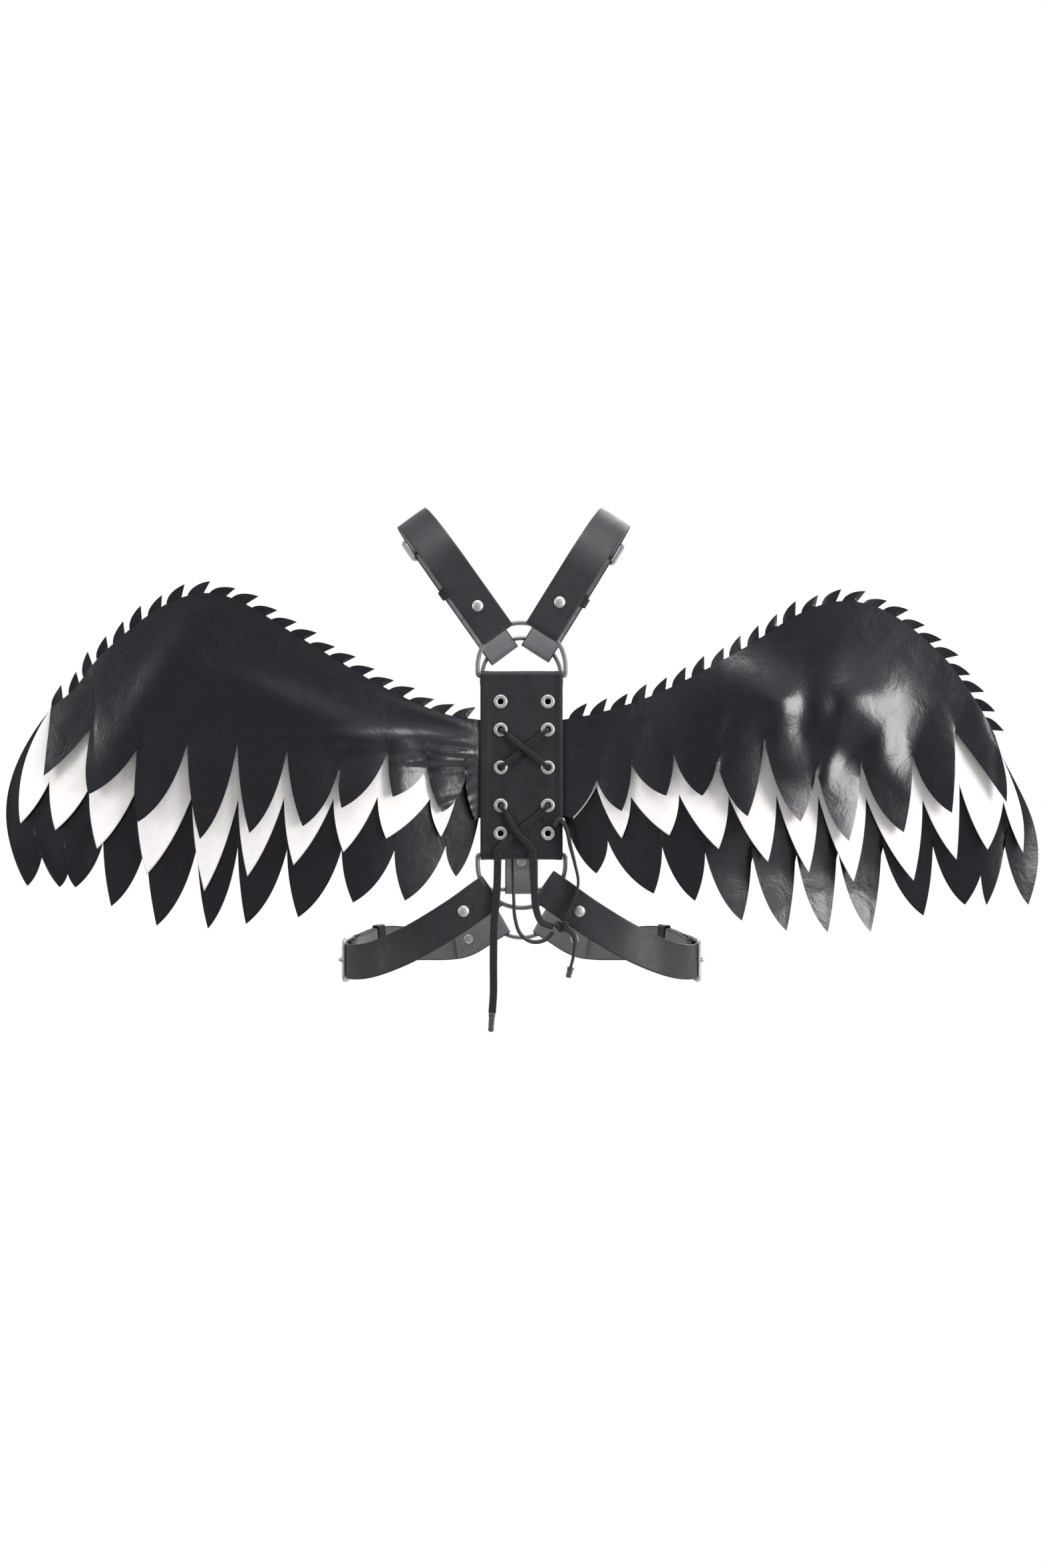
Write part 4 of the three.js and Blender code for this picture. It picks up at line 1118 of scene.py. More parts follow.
def add_ring(name, bar_height, direction, depth):
    """A D-ring of round wire, a little swollen where its ends are welded on the bar."""
    path = ring_path(bar_height, direction, depth)
    up = np.broadcast_to([0.0, 1.0, 0.0], path.shape)
    across = np.cross(directions(path, True), up)
    weld = bell(path[:, 0] - WELD_AT, WELD_WIDTH) * (np.abs(path[:, 2] - bar_height) < 1)
    wire = size("ring_wire")
    section = ellipse(wire, wire, 20)[None] * (1 + WELD_SWELL * weld)[:, None, None]
    # Painted shade: the wire takes the darker copy of the nickel plating
    add_tube(f"{name}_wire", path, section, across, up, shaded_wire_nickel(), (name,), closed=True)


def add_eyelet(name, x, z):
    """A rolled eyelet turned from one profile: barrel, domed front flange and curled back edge."""
    hole, flange = size("eyelet_hole") / 2, size("eyelet_flange") / 2
    face = -PANEL_THICK
    lip = np.linspace(0, np.pi, 15)
    middle, reach = (hole + flange) / 2, (flange - hole) / 2
    dome = face - EYELET_SEAT - EYELET_DOME * np.sin(lip) ** 0.8
    front = np.stack([middle - reach * np.cos(lip), dome], axis=1)
    wall = hole + EYELET_WALL
    outer = [(flange - 0.3, face - 0.02), (wall, face - 0.02), (wall, 0.1)]
    curl = np.linspace(np.pi, 0, 11)
    curl_radius = hole + EYELET_CURL - EYELET_CURL * np.cos(np.pi - curl)
    back = np.stack([curl_radius, EYELET_SEAT + EYELET_CURL_HEIGHT * np.sin(curl)], axis=1)
    points, quads = turned(np.concatenate([front, outer, back]), 40)
    placed = np.stack([x + points[:, 0], points[:, 2], z + points[:, 1]], axis=1)
    quads = outward_quads(placed, quads)
    add_piece(f"{name}_nickel", placed, quads.tolist(), [nickel()], (name,), crease=50)


def add_rivet(name, run, along):
    """A domed cap on the strap's outer face and a flat washer on the inner one, both turned on the normal."""
    head = size("rivet_head") / 2
    top = STRAP_THICK / 2
    seat = top - RIVET_SEAT
    turn = np.linspace(0, np.pi / 2, 12)
    radius = RIVET_AXIS + (head - RIVET_AXIS) * np.sin(turn)
    dome = np.stack([radius, top + RIVET_STEP + RIVET_DOME * np.cos(turn)], axis=1)
    cap = np.concatenate([dome, [(head, top + 0.05), (head - 0.4, seat), (RIVET_AXIS, seat)]])
    washer = np.array(RIVET_WASHER) - [0.0, STRAP_LAYER + STRAP_THICK / 2]
    meshes = [turned(profile, 32) for profile in (cap, washer)]
    centre, normal = run.point(along, 0.0), run.outward(along)
    across = unit(np.cross(normal, RIVET_ASIDE))
    axes = np.stack([across, np.cross(normal, across), normal])
    points = np.concatenate([centre + mesh[0] @ axes for mesh in meshes])
    quads = np.concatenate([meshes[0][1], meshes[1][1] + len(meshes[0][0])])
    quads = outward_quads(points, quads)
    add_piece(f"{name}_nickel", points, quads.tolist(), [nickel()], (name,), crease=50)


def add_buckle(name, run, buckle):
    """A wire frame with round corners about the strap, and a tapered prong from heel bar to far bar."""
    wire = size("buckle_wire")
    half = size("strap_width") / 2 + 2 * GAP + wire / 2
    spots = np.array([buckle, buckle - BUCKLE_LENGTH])
    ends = run.point(spots, np.array([0.0, WIRE_DROP]))
    wide = run.across(spots)
    forward = unit(ends[1] - ends[0])
    turn = np.linspace(0, np.pi / 2, 8)[:, None]
    loop = []
    for end, side in ((0, 1), (1, 1), (1, -1), (0, -1)):
        w = wide[end] * side
        inward = forward * (1 if end == 0 else -1)
        pivot = ends[end] + w * (half - BUCKLE_CORNER) + inward * BUCKLE_CORNER
        corner = pivot - inward * BUCKLE_CORNER * np.cos(turn) + w * BUCKLE_CORNER * np.sin(turn)
        loop.append(corner if (end == 0) == (side == 1) else corner[::-1])
    path = evenly_closed(np.concatenate(loop), 1.0)
    tangent = directions(path, True)
    up = square_to(tangent, run.outward(buckle - BUCKLE_LENGTH / 2))
    section, across = ellipse(wire, wire, 18), np.cross(tangent, up)
    add_tube(f"{name}_frame", path, section, across, up, nickel(), (name,), closed=True)
    rest = run.outward(buckle - BUCKLE_LENGTH)
    stack = HEEL_DROP + STRAP_LAYER + STRAP_THICK / 2
    stops = [run.point(buckle - before, stack + clear) for before, clear in PRONG_RESTS]
    stops += [ends[1] + rest * (wire / 2 + clear) + forward * past for past, clear in PRONG_TIP]
    line = spline(stops, 0.7)
    tangent = directions(line)
    across = square_to(tangent, run.across(buckle - BUCKLE_LENGTH / 2))
    share = np.linspace(0, 1, len(line))
    thick = PRONG_THICK * np.sqrt(np.clip(1 - ((share - PRONG_FULLEST) / PRONG_TAPER) ** 4, 0.06, 1))
    section = ellipse(1.0, 1.0, 12)[None] * thick[:, None, None]
    add_tube(f"{name}_prong", line, section, across, np.cross(tangent, across), nickel())


def add_keeper(name, run, along):
    """A leather loop about both layers: a thin rounded band carried round a round-cornered oblong."""
    low, high = -STRAP_THICK / 2 - KEEPER_SLACK, STRAP_LAYER + STRAP_THICK / 2 + KEEPER_SLACK
    wide = size("strap_width") / 2 + KEEPER_SLACK + KEEPER_THICK / 2
    tall = (high - low) / 2 + KEEPER_THICK / 2
    turn = np.linspace(0, np.pi / 2, 7)
    corner = KEEPER_CORNER * np.stack([np.cos(turn), np.sin(turn)], axis=1)
    quarter = [wide - KEEPER_CORNER, tall - KEEPER_CORNER] + corner
    flips = ((1, 1), (-1, 1), (-1, -1), (1, -1))
    loop = evenly_closed(np.concatenate([(quarter * flip)[:: flip[0] * flip[1]] for flip in flips]), 1.0)
    normal, side = run.outward(along), run.across(along)
    path = run.point(along, (low + high) / 2) + loop[:, :1] * side + loop[:, 1:] * normal
    across = np.broadcast_to(unit(np.cross(side, normal)), path.shape)
    up = unit(np.cross(directions(path, True), across))
    section, _ = strap_section(KEEPER_LENGTH, KEEPER_THICK, 12)
    edge = np.tile(np.abs(section[:, 0]) > KEEPER_LENGTH / 2 - KEEPER_RIM, len(path)).astype(float)
    nodes, marks = (name,), {"edge": edge}
    add_tube(f"{name}_loop", path, section, across, up, strap_leather(), nodes, True, marks)


# Back panel


def panel_cells():
    """Edges of the panel's cells, one about each eyelet: columns meet midway between them, rows likewise."""
    columns, rows = np.array(EYELET_COLUMNS), np.array(EYELET_ROWS)[::-1]
    x = np.concatenate([[-PANEL_WIDTH / 2], (columns[1:] + columns[:-1]) / 2, [PANEL_WIDTH / 2]])
    z = np.concatenate([[-BAR_HEIGHT], (rows[1:] + rows[:-1]) / 2, [BAR_HEIGHT]])
    return x, z, columns, rows


def panel_relief(x, z):
    """How proud the panel's face is: a turned border, a sewn groove beside it and a slight swell."""
    inset = PANEL_WIDTH / 2 - np.abs(x)
    border = BORDER_RISE * (1 - smooth_step(*BORDER_FALL, inset)) * smooth_step(*BORDER_ROUND, inset)
    groove = -SEAM_DEPTH * bell(inset - SEAM_INSET, SEAM_WIDTH)
    swell = 0.35 * np.sin(x / 13.0 + 0.6) * np.sin(z / 31.0 + 0.4) + 0.2 * np.sin(z / 12.0 + x / 9.0)
    return border + groove + swell * smooth_step(*PANEL_SWELL_FROM, inset)


def panel_hem():
    """A hem's mid line, as depth and rise above its ring's bar, round the bar and down, and its normals."""
    turn = np.linspace(0, np.pi, 15)[1:]
    bend = np.stack([BACK_RING_Y - WIRE_DROP * np.cos(turn), WIRE_DROP * np.sin(turn)], axis=1)
    leave = np.linspace(0, 1, 12)[1:]
    back = bend[-1, 0]
    inwards = (PANEL_THICK / 2 + HEM_STANDOFF - back) * smooth_step(0, 0.7, leave)
    tail = np.stack([back + inwards, -HEM_LENGTH * leave], axis=1)
    middle = np.concatenate([[[BACK_RING_Y - WIRE_DROP, 0.0]], bend, tail])
    return middle, directions(middle)[:, ::-1] * [-1.0, 1.0]


def add_panel():
    """The laced panel: a cell about each hole blends from the hole's circle to the cell's oblong edge.

    Each cell is a grid of angle by share of the way out; the top and bottom edges carry on round the ring
    bars as hems. All points move out by the relief, and the back face is flat.
    """
    xs, zs, columns, rows = panel_cells()
    hole = size("eyelet_hole") / 2 + PANEL_HOLE_SLACK
    side = np.linspace(0, 1, PANEL_SIDE, endpoint=False)
    zero, one = 0 * side, 1 + 0 * side
    edges = ((side, zero), (one, side), (1 - side, one), (zero, 1 - side))
    square = np.concatenate([np.stack(edge, axis=1) for edge in edges])
    share = np.linspace(0, 1, 15)[:, None, None] ** 1.2
    ring, cell_size = len(square), len(share) * len(square)
    cells = []
    for i, x in enumerate(columns):
        for j, z in enumerate(rows):
            low, high = np.array([xs[i], zs[j]]), np.array([xs[i + 1], zs[j + 1]])
            border = low + square * (high - low)
            circle = [x, z] + hole * unit(border - [x, z])
            cells.append((circle[None] * (1 - share) + border[None] * share).reshape(-1, 2))
    flat = np.concatenate(cells)
    count = len(flat)
    front = np.stack([flat[:, 0], -PANEL_THICK - panel_relief(*flat.T), flat[:, 1]], axis=1)
    back = np.stack([flat[:, 0], np.zeros(count), flat[:, 1]], axis=1)
    starts = cell_size * np.arange(len(cells))
    quads = np.concatenate([grid_quads(len(share), ring, False, True) + start for start in starts])
    points, faces = [front, back], [quads, quads[:, ::-1] + count]
    faces += [walls(start + np.arange(ring + 1) % ring, count) for start in starts]

    # Hems: an outer and an inner sheet each, closed along their sides and their lower edge
    edge_x = np.concatenate([xs[i] + side * (xs[i + 1] - xs[i]) for i in range(len(columns))] + [xs[-1:]])
    middle, normal = panel_hem()
    stations = len(middle)
    hem_size = len(edge_x) * stations
    x = np.repeat(edge_x[:, None], stations, axis=1)
    fade = np.linspace(1, 0, stations) ** 2
    for up in (1, -1):
        base = sum(len(part) for part in points)
        relief = panel_relief(edge_x, np.full_like(edge_x, up * BAR_HEIGHT))
        outer = PANEL_THICK / 2 + relief[:, None] * fade
        for out in (outer, np.full_like(outer, -PANEL_THICK / 2)):
            sheet = middle + normal * out[..., None]
            grid = np.stack([x, sheet[..., 0], up * (BAR_HEIGHT + sheet[..., 1])], axis=-1)
            points.append(grid.reshape(-1, 3))
        quads = grid_quads(len(edge_x), stations) + base
        faces += [quads, quads[:, ::-1] + hem_size]
        faces += [walls(base + line + np.arange(stations), hem_size) for line in (0, hem_size - stations)]
        faces.append(walls(base + stations - 1 + stations * np.arange(len(edge_x)), hem_size))

    # Walls along the two long edges, from the outermost cells' outer edges to the back face
    for column, first in ((0, 3), (len(columns) - 1, 1)):
        for row in range(len(rows)):
            last_ring = (column * len(rows) + row + 1) * cell_size - ring
            faces.append(walls(last_ring + (first * PANEL_SIDE + np.arange(PANEL_SIDE + 1)) % ring, count))
    points = np.concatenate(points)
    inset = PANEL_WIDTH / 2 - np.abs(points[:, 0])
    seam = SEAM_BURNISH * bell(inset - SEAM_INSET, SEAM_MARK)
    edge = np.maximum(1 - smooth_step(*PANEL_EDGE, inset), seam)
    faces = np.concatenate(faces).tolist()
    looks, marks = [panel_leather()], {"edge": edge}
    piece = add_piece("panel_hide", points, faces, looks, ("back_panel",), marks=marks)
    join_and_face_out(piece)


def join_and_face_out(piece):
    """Merges the points that neighbouring grids share and turns every face outwards."""
    work = bmesh.new()
    work.from_mesh(piece.data)
    bmesh.ops.remove_doubles(work, verts=work.verts, dist=0.02 * MM)
    bmesh.ops.recalc_face_normals(work, faces=work.faces)
    work.to_mesh(piece.data)
    work.free()
    piece.data.set_sharp_from_angle(angle=math.radians(45))


def add_shade_sheet():
    """A dark sheet behind the laces, painted shade that makes the panel's holes read dark; its long edges
    roll forward to the panel's back.

    Depth over (x, z) is flat in the middle, falls to the panel in a quarter round at each long edge, and
    flares back towards the lower edge to let the lace out.
    """
    x = SHADE_SHEET_HALF * np.sin(np.linspace(-np.pi / 2, np.pi / 2, 61))[:, None]
    z = np.linspace(-SHADE_SHEET_HEIGHT, SHADE_SHEET_HEIGHT, 90)[None]
    roll = np.clip((np.abs(x) - SHADE_SHEET_HALF + SHADE_SHEET_ROLL) / SHADE_SHEET_ROLL, 0, 1)
    rolled = SHADE_SHEET_DEPTH * np.sqrt(np.clip(1 - roll**2, 0, 1))
    flare = SHADE_SHEET_FLARE * (1 - smooth_step(-SHADE_SHEET_HEIGHT, -SHADE_SHEET_HEIGHT + SHADE_SHEET_FLARE_RUN, z))
    ripple = 0.25 * np.sin(x / 7.0 + z / 19.0)
    depth = GAP + (rolled + flare) * (1 - roll**4) + ripple * (1 - roll)
    front = np.stack(np.broadcast_arrays(x, depth, z), axis=-1)
    # Painted shade: a dark sheet behind the laces so that the panel's holes read dark
    add_sheet("panel_lining", front, SHADE_SHEET_THICK, [knit_backing(), knit_backing()])


def add_stitches():
    """Two rows of thread by the panel's borders: each stitch a short rounded bar dipping into the hide."""
    zs = np.arange(STITCH_ENDS[0] - BAR_HEIGHT, BAR_HEIGHT - STITCH_ENDS[1], STITCH_PITCH)
    t = np.linspace(-1, 1, 9)
    section = ellipse(THREAD, THREAD, 8)
    thin = np.sqrt(np.clip(1 - t**4, 0.02, 1))
    line = np.stack([0.12 * t, 0.5 * t**2 - 0.25, t * STITCH_LENGTH / 2], axis=1)
    ring = np.stack([section[:, 0], section[:, 1], 0 * section[:, 0]], axis=1)
    bar = line[:, None] + ring * thin[:, None, None]
    centres = []
    for x in (SEAM_INSET - PANEL_WIDTH / 2, PANEL_WIDTH / 2 - SEAM_INSET):
        row = np.full_like(zs, x)
        centres.append(np.stack([row, -PANEL_THICK - panel_relief(row, zs), zs], axis=1))
    centres = np.concatenate(centres)
    points = (centres[:, None, None] + bar).reshape(-1, 3)
    starts = len(t) * len(section) * np.arange(len(centres))
    quads = grid_quads(len(t), len(section), False, True) + starts[:, None, None]
    quads = outward_quads(points, quads.reshape(-1, 4))
    lay = np.stack([points[:, 2] / THREAD_TURN, points[:, 0] / THREAD_TURN, 0 * points[:, 0]], axis=1)
    add_piece("panel_stitches", points, quads.tolist(), [lace_braid()], marks={"lay": lay})


# Wings


def wing_swells(label, span, height):
    """Sum of soft mounds: each falls off as a bell along and across its turned axes, unlike on its flanks."""
    total = np.zeros(np.broadcast(span, height).shape)
    for at, up, long, near_side, far_side, turn, rise in SWELLS[label]:
        c, s = math.cos(math.radians(turn)), math.sin(math.radians(turn))
        along = ((span - at) * c + (height - up) * s) / long
        over = (height - up) * c - (span - at) * s
        over = over / np.where(over > 0, near_side, far_side)
        total = total + rise * np.exp(-(along**2) - over**2)
    return total


def wing_depth(label, span, height):
    """Y of a wing's front face: a long swell along the span, a belly down the chord, and soft bulges."""
    t = np.clip((span - WING_FLAT_UNTIL) / WING_REACH, 0, 1)
    down = np.clip((curve_at(LEADING_EDGE[label], span) - height) / WING_CHORD, 0, 1)
    sweep = WING_BULGE * np.sin(np.pi * t**0.9) + WING_TIP_SET * t
    belly = WING_CHORD_BULGE * np.sin(np.pi * down) * smooth_step(0, 0.25, t)
    return GAP - sweep - belly - wing_swells(label, span, height)


def gathers(label, span, height):
    """Folds drawn in at the seam: round ridges side by side, whose lines spread and die away outwards."""
    reach, depth = GATHERS[label]
    line = (height - 4.0) / (0.6 + 0.4 * span / WING_FLAT_UNTIL)
    ridge = 0.5 + 0.5 * np.cos(2 * np.pi * line / GATHER_PITCH + 1.4 * np.sin(line / 7.0) + 0.5)
    uneven = 0.65 + 0.35 * np.sin(line / 5.3 + 1.0)
    fade = smooth_step(38.0, 60.0, span) * (1 - smooth_step(WING_FLAT_UNTIL + 20.0, reach, span))
    return depth * ridge * uneven * fade


def wrinkles(label, span, height):
    """Fine waves of the thin leather: crossed sines whose phases wander."""
    phase = 1.7 if label == "left" else 0.3
    first = np.sin(span / 19.0 + 1.6 * np.sin(height / 37.0 + phase) + phase)
    second = np.sin(height / 15.0 + 1.9 * np.sin(span / 43.0 - phase))
    return size("wrinkle") * (1 + 0.5 * first + 0.5 * second) * smooth_step(WING_FLAT_UNTIL, 70, span)


def notch_shares(label, tier_name, number, count):
    """Place and depth of the notch after a feather, as shares."""
    if tier_name == "covert":
        return COVERT_NOTCHES[label][number]
    if number >= count - 3:
        return OUTER_NOTCHES[tier_name][label][number - count + 3]
    return NOTCH_PLACE, TIERS[tier_name]["notch"]


def tier_outline(label, tier_name, inner_points=16, outer_points=12):
    """Lower outline of a tier, from the panel outwards, with each point's feather, and the notches.

    Each feather is a blade: its inner edge slants from the notch in a slight round to the tip, its outer edge
    rises steeply, a little full, to the next notch.
    """
    tier = TIERS[tier_name]
    tips = np.array(FEATHER_TIPS[label][tier_name], float)
    first = np.array([PANEL_WIDTH / 2 - WING_TUCK, tier["root"]])
    start = np.array([WING_FLAT_UNTIL, tier["root"]])
    points, feather, notches = [first[None]], [np.zeros(1)], [first]
    if tier_name == "white":
        first, bend, start = np.array(WHITE_LEAD_IN[label])
        points = [bezier(first, bend, start, outer_points)]
        feather, notches = [np.zeros(outer_points)], [start]
    for k, tip in enumerate(tips):
        last = k == len(tips) - 1
        blade = LAST_COVERT_BLADE[label] if last and tier_name == "covert" else tier["blade"]
        points.append(bezier(start, start + (tip - start) * np.array(blade), tip, inner_points))
        feather.append(np.full(inner_points, k))
        if last:
            break
        following = tips[k + 1]
        pitch = following[0] - tip[0]
        across, depth = notch_shares(label, tier_name, k, len(tips))
        span = tip[0] + across * pitch
        lead = curve_at(LEADING_EDGE[label], span)
        notch = np.array([span, lead + depth * ((tip[1] + following[1]) / 2 - lead)])
        side = tip + (notch - tip) * np.array(OUTER_EDGE_BEND)
        if across > 0:
            side[0] = min(side[0] + OUTER_EDGE_FULL * pitch, notch[0])
        else:
            side[0] = tip[0] + INWARD_EDGE_FULL * pitch
        points.append(bezier(tip, side, notch, outer_points))
        feather.append(np.full(outer_points, k))
        notches.append(notch)
        start = notch
    points.append(tips[-1:])
    feather.append(np.full(1, len(tips) - 1))
    return np.concatenate(points), np.concatenate(feather).astype(int), np.array(notches)


def spread_out(values, reach=14):
    """Rising values smoothed by a running mean, so that equal neighbours part; both ends stay in place."""
    before, after = 2 * values[0] - values[reach:0:-1], 2 * values[-1] - values[-2 : -reach - 2 : -1]
    window = 2 * reach + 1
    return np.convolve(np.concatenate([before, values, after]), np.full(window, 1 / window), "valid")


def tier_surface(label, tier_name):
    """Front face of a feather tier on a grid of outline columns by rows down from the leading edge.

    Below the notches each feather lifts, crowns and turns on its own; coverts are gathered and wrinkled too.
    """
    tier = TIERS[tier_name]
    low, feather, notches = tier_outline(label, tier_name)
    lead_rows = LEADING_EDGE[label]
    inner = low[0, 0]
    furthest = spread_out(np.maximum.accumulate(low[:, 0]))
    share = (furthest - inner) / (furthest[-1] - inner)
    top = np.where(furthest <= WING_FLAT_UNTIL, furthest, inner + share * (lead_rows[-1][0] - inner))
    start = tier["start"] * (1 - share**6)[:, None]
    down = start + (1 - start) * np.linspace(0, 1, tier["rows"])[None]
    rise, fullness = BOW[label]["powers"]
    bow = BOW[label][tier_name] * share[:, None] ** 10 * np.abs(np.sin(np.pi * down**rise)) ** fullness
    span = top[:, None] + (low[:, :1] - top[:, None]) * down + bow
    height = curve_at(lead_rows, top)[:, None] * (1 - down) + low[:, 1:] * down
    free = smooth_step(WING_FLAT_UNTIL, 2 * WING_FLAT_UNTIL, span)
    drop = curve_at(notches, span) - height
    proud = tier["lift"] * (np.maximum(drop, 0) / 60.0) ** 1.5 * free
    columns = np.searchsorted(feather, np.arange(feather[-1] + 2))
    opens = span[columns[feather]]
    closes = span[np.minimum(columns[feather + 1], len(low) - 1)]
    place = np.clip((span - opens) / np.maximum(closes - opens, 1.0), 0, 1.1)
    middle = np.sin(np.pi * np.minimum(place, 1)) ** 0.8
    begins, full = TURN_STARTS[label]
    if tier_name != "flight":
        begins = begins * middle
    near = smooth_step(begins, full, drop) * free
    proud += size("feather_crown") * middle * near * tier["crown"]
    turn = np.array(FEATHER_TURN[label][tier_name], float)[feather][:, None]
    lean = np.where(turn > 0, turn * place, -turn * (1 - place))
    if tier_name == "flight":
        lean = lean - np.abs(turn)
    proud += lean * near
    if tier_name == "covert":
        proud += gathers(label, span, height) + wrinkles(label, span, height)
    y = wing_depth(label, span, height) + tier["offset"] - proud
    return np.stack([SIDES[label] * span, y, height], axis=-1)


def add_tier(label, tier_name):
    """One tier of feathers as a sheet of coated leather."""
    node = f"wing_{label}_{tier_name}"
    face, slot = wing_leather(), "wing_leather"
    if tier_name == "white":
        face, slot = white_leather(), "white_leather"
    front = tier_surface(label, tier_name)
    add_sheet(f"{node}_sheet", front, TIERS[tier_name]["thick"], [face, knit_backing()], (node,))


def add_spikes(label):
    """Hooked spikes on a strip along the leading edge: round behind, hollow in front, leaning to +X."""
    node, side, count = f"wing_{label}_spikes", SIDES[label], SPIKES[label]
    lead_rows = LEADING_EDGE[label]
    span = np.linspace(WING_FLAT_UNTIL + SPIKE_START, lead_rows[-1][0], 400)
    step = 0.5
    edge = evenly(np.stack([span, curve_at(lead_rows, span)], axis=1), step)
    tangent = directions(edge)
    shares = np.linspace(0, 1, len(edge))

    def at(share, out):
        spot, way = (interpolate(share, shares, rows) for rows in (edge, tangent))
        past = (share - np.clip(share, 0, 1))[..., None] * len(edge) * step
        return spot + past * way + np.stack([-way[..., 1], way[..., 0]], axis=-1) * out[..., None]

    root, tip, heel, end = np.array([[0.0, 0.0], [1.0, 1.0], [0.6, 0.16], [1.0, 0.0]])
    back = bezier(root, np.array([0.2, 0.74]), tip, 12)
    hollow = bezier(tip, np.array([0.56, 0.5]), heel, 9)
    gap = bezier(heel, np.array([0.7, -0.08]), end, 7)
    tooth = np.concatenate([back, hollow, gap])
    if side < 0:
        tooth = np.concatenate([tooth, [end]])[::-1][:-1] * [-1.0, 1.0] + end
    number = np.repeat(np.arange(count), len(tooth))
    local = np.tile(tooth, (count, 1))
    vary = 1 + 0.12 * np.sin(number * 2.4 + 0.5)
    share = np.append((number + local[:, 0]) / count, 1.0)
    top = at(share, np.append(local[:, 1] * size("spike_height") * vary, 0.0))
    low = at(np.linspace(0, 1, len(share)), np.full(len(share), -SPIKE_STRIP))
    rows = np.linspace(0, 1, 6)[None, :, None]
    flat = top[:, None] * (1 - rows) + low[:, None] * rows
    curl = SPIKE_CURL * (1 - rows[..., 0]) * (1 + np.sin(count * 3.1 * share))[:, None]
    y = wing_depth(label, flat[..., 0], flat[..., 1]) + SPIKE_OFFSET - curl
    front = np.stack([side * flat[..., 0], y, flat[..., 1]], axis=-1)
    add_sheet(f"{node}_strip", front, SPIKE_THICK, [wing_leather(), knit_backing()], (node,))


# Laces


def flat_lace(path, twist, width, thick):
    """Section, directions and lay of a flat lace: its broad face is turned by twist from facing along Y."""
    tangent = directions(path)
    facing = np.array([0.0, 1.0, 0.0])
    sound = 1 - np.abs(tangent @ facing) > 0.3
    spots = np.arange(len(path))
    across = unit(np.cross(tangent, facing))
    across = square_to(tangent, unit(interpolate(spots, spots[sound], across[sound])))
    up = np.cross(across, tangent)
    c, s = np.cos(twist)[:, None], np.sin(twist)[:, None]
    angle = 2 * np.pi * np.arange(LACE_SIDES) / LACE_SIDES
    circle = np.stack([np.cos(angle), np.sin(angle)], axis=1)
    oval = np.sign(circle) * np.abs(circle) ** LACE_SQUARENESS
    broad = np.stack([np.broadcast_to(width, len(path)), np.broadcast_to(thick, len(path))], axis=1)
    turns_along = distances(path)[:, None] / PLAIT_LENGTH
    turns_across = angle / (2 * np.pi) * PLAIT_STRANDS
    lay = np.stack(np.broadcast_arrays(turns_along, turns_across, 0.0), axis=-1).reshape(-1, 3)
    return oval[None] * broad[:, None] / 2, across * c + up * s, up * c - across * s, lay


def add_free_lace(name):
    """One free stretch of the flat lace along its route."""
    width = size("lace_width")
    path = spline(LACE_ROUTES[name], LACE_STEP)
    start, end = np.radians(LACE_TWIST[name])
    twist = start + (end - start) * smooth_step(0, 1, np.linspace(0, 1, len(path)))
    section, across, up, lay = flat_lace(path, twist, width, size("lace_thick"))
    node = f"lace_{name}"
    piece = add_tube(
        f"{node}_braid", path, section, across, up, lace_braid(), (node,), marks={"lay": lay}
    )


def add_aglet(name, route, length):
    """A lace's pressed tip: an oval tube that narrows from the lace's width to its end, with two crimps."""
    path = spline(LACE_ROUTES[route], LACE_STEP)
    way = unit(path[-1] - path[-3])
    share = np.linspace(0, 1, 30)
    line = path[-1] + way * (share * (length + AGLET_PAST) - AGLET_OVERLAP)[:, None]
    crimp = 1 - CRIMP_DEPTH * sum(bell(share - at, CRIMP_WIDTH) for at in AGLET_CRIMPS)
    end = np.sqrt(np.clip(1 - ((share - 0.5) / 0.51) ** 12, 0.1, 1))
    narrow = smooth_step(0, 0.5, share)
    girth = [(full - lost * narrow) * crimp * end for full, lost in (AGLET_WIDE, AGLET_THICK)]
    section = ellipse(1.0, 1.0, 20)[None] * np.stack(girth, axis=1)[:, None]
    across = unit(np.cross(way, [0.0, 1.0, 0.0]))
    across, up = (np.broadcast_to(v, line.shape) for v in (across, np.cross(across, way)))
    return add_tube(f"{name}_tip", line, section, across, up, aglet_plastic(), (name,))


def add_knot():
    """The laces' overhand knot: a trefoil (sin t + 2 sin 2t, sin 3t, cos t - 2 cos 2t) squeezed to size."""
    t = np.linspace(0, 2 * np.pi, 180, endpoint=False)
    curve = np.stack([np.sin(t) + 2 * np.sin(2 * t), np.sin(3 * t), np.cos(t) - 2 * np.cos(2 * t)], axis=1)
    inside = (np.array(KNOT_RADII) - KNOT_INSET) / [3.0, 1.0, 3.0]
    path = np.array(KNOT_CENTRE) + curve * inside
    tangent = directions(path, True)
    up = square_to(tangent, unit(path - np.array(KNOT_CENTRE) - KNOT_BEHIND))
    turns_along = t[:, None] / KNOT_PLAIT
    turns_across = np.linspace(0, KNOT_STRANDS, KNOT_SIDES)
    lay = np.stack(np.broadcast_arrays(turns_along, turns_across, 0.0), axis=-1).reshape(-1, 3)
    section, across = ellipse(*KNOT_LACE, KNOT_SIDES), np.cross(tangent, up)
    nodes, marks = ("lace_knot",), {"lay": lay}
    add_tube("lace_knot_braid", path, section, across, up, lace_braid(), nodes, True, marks)


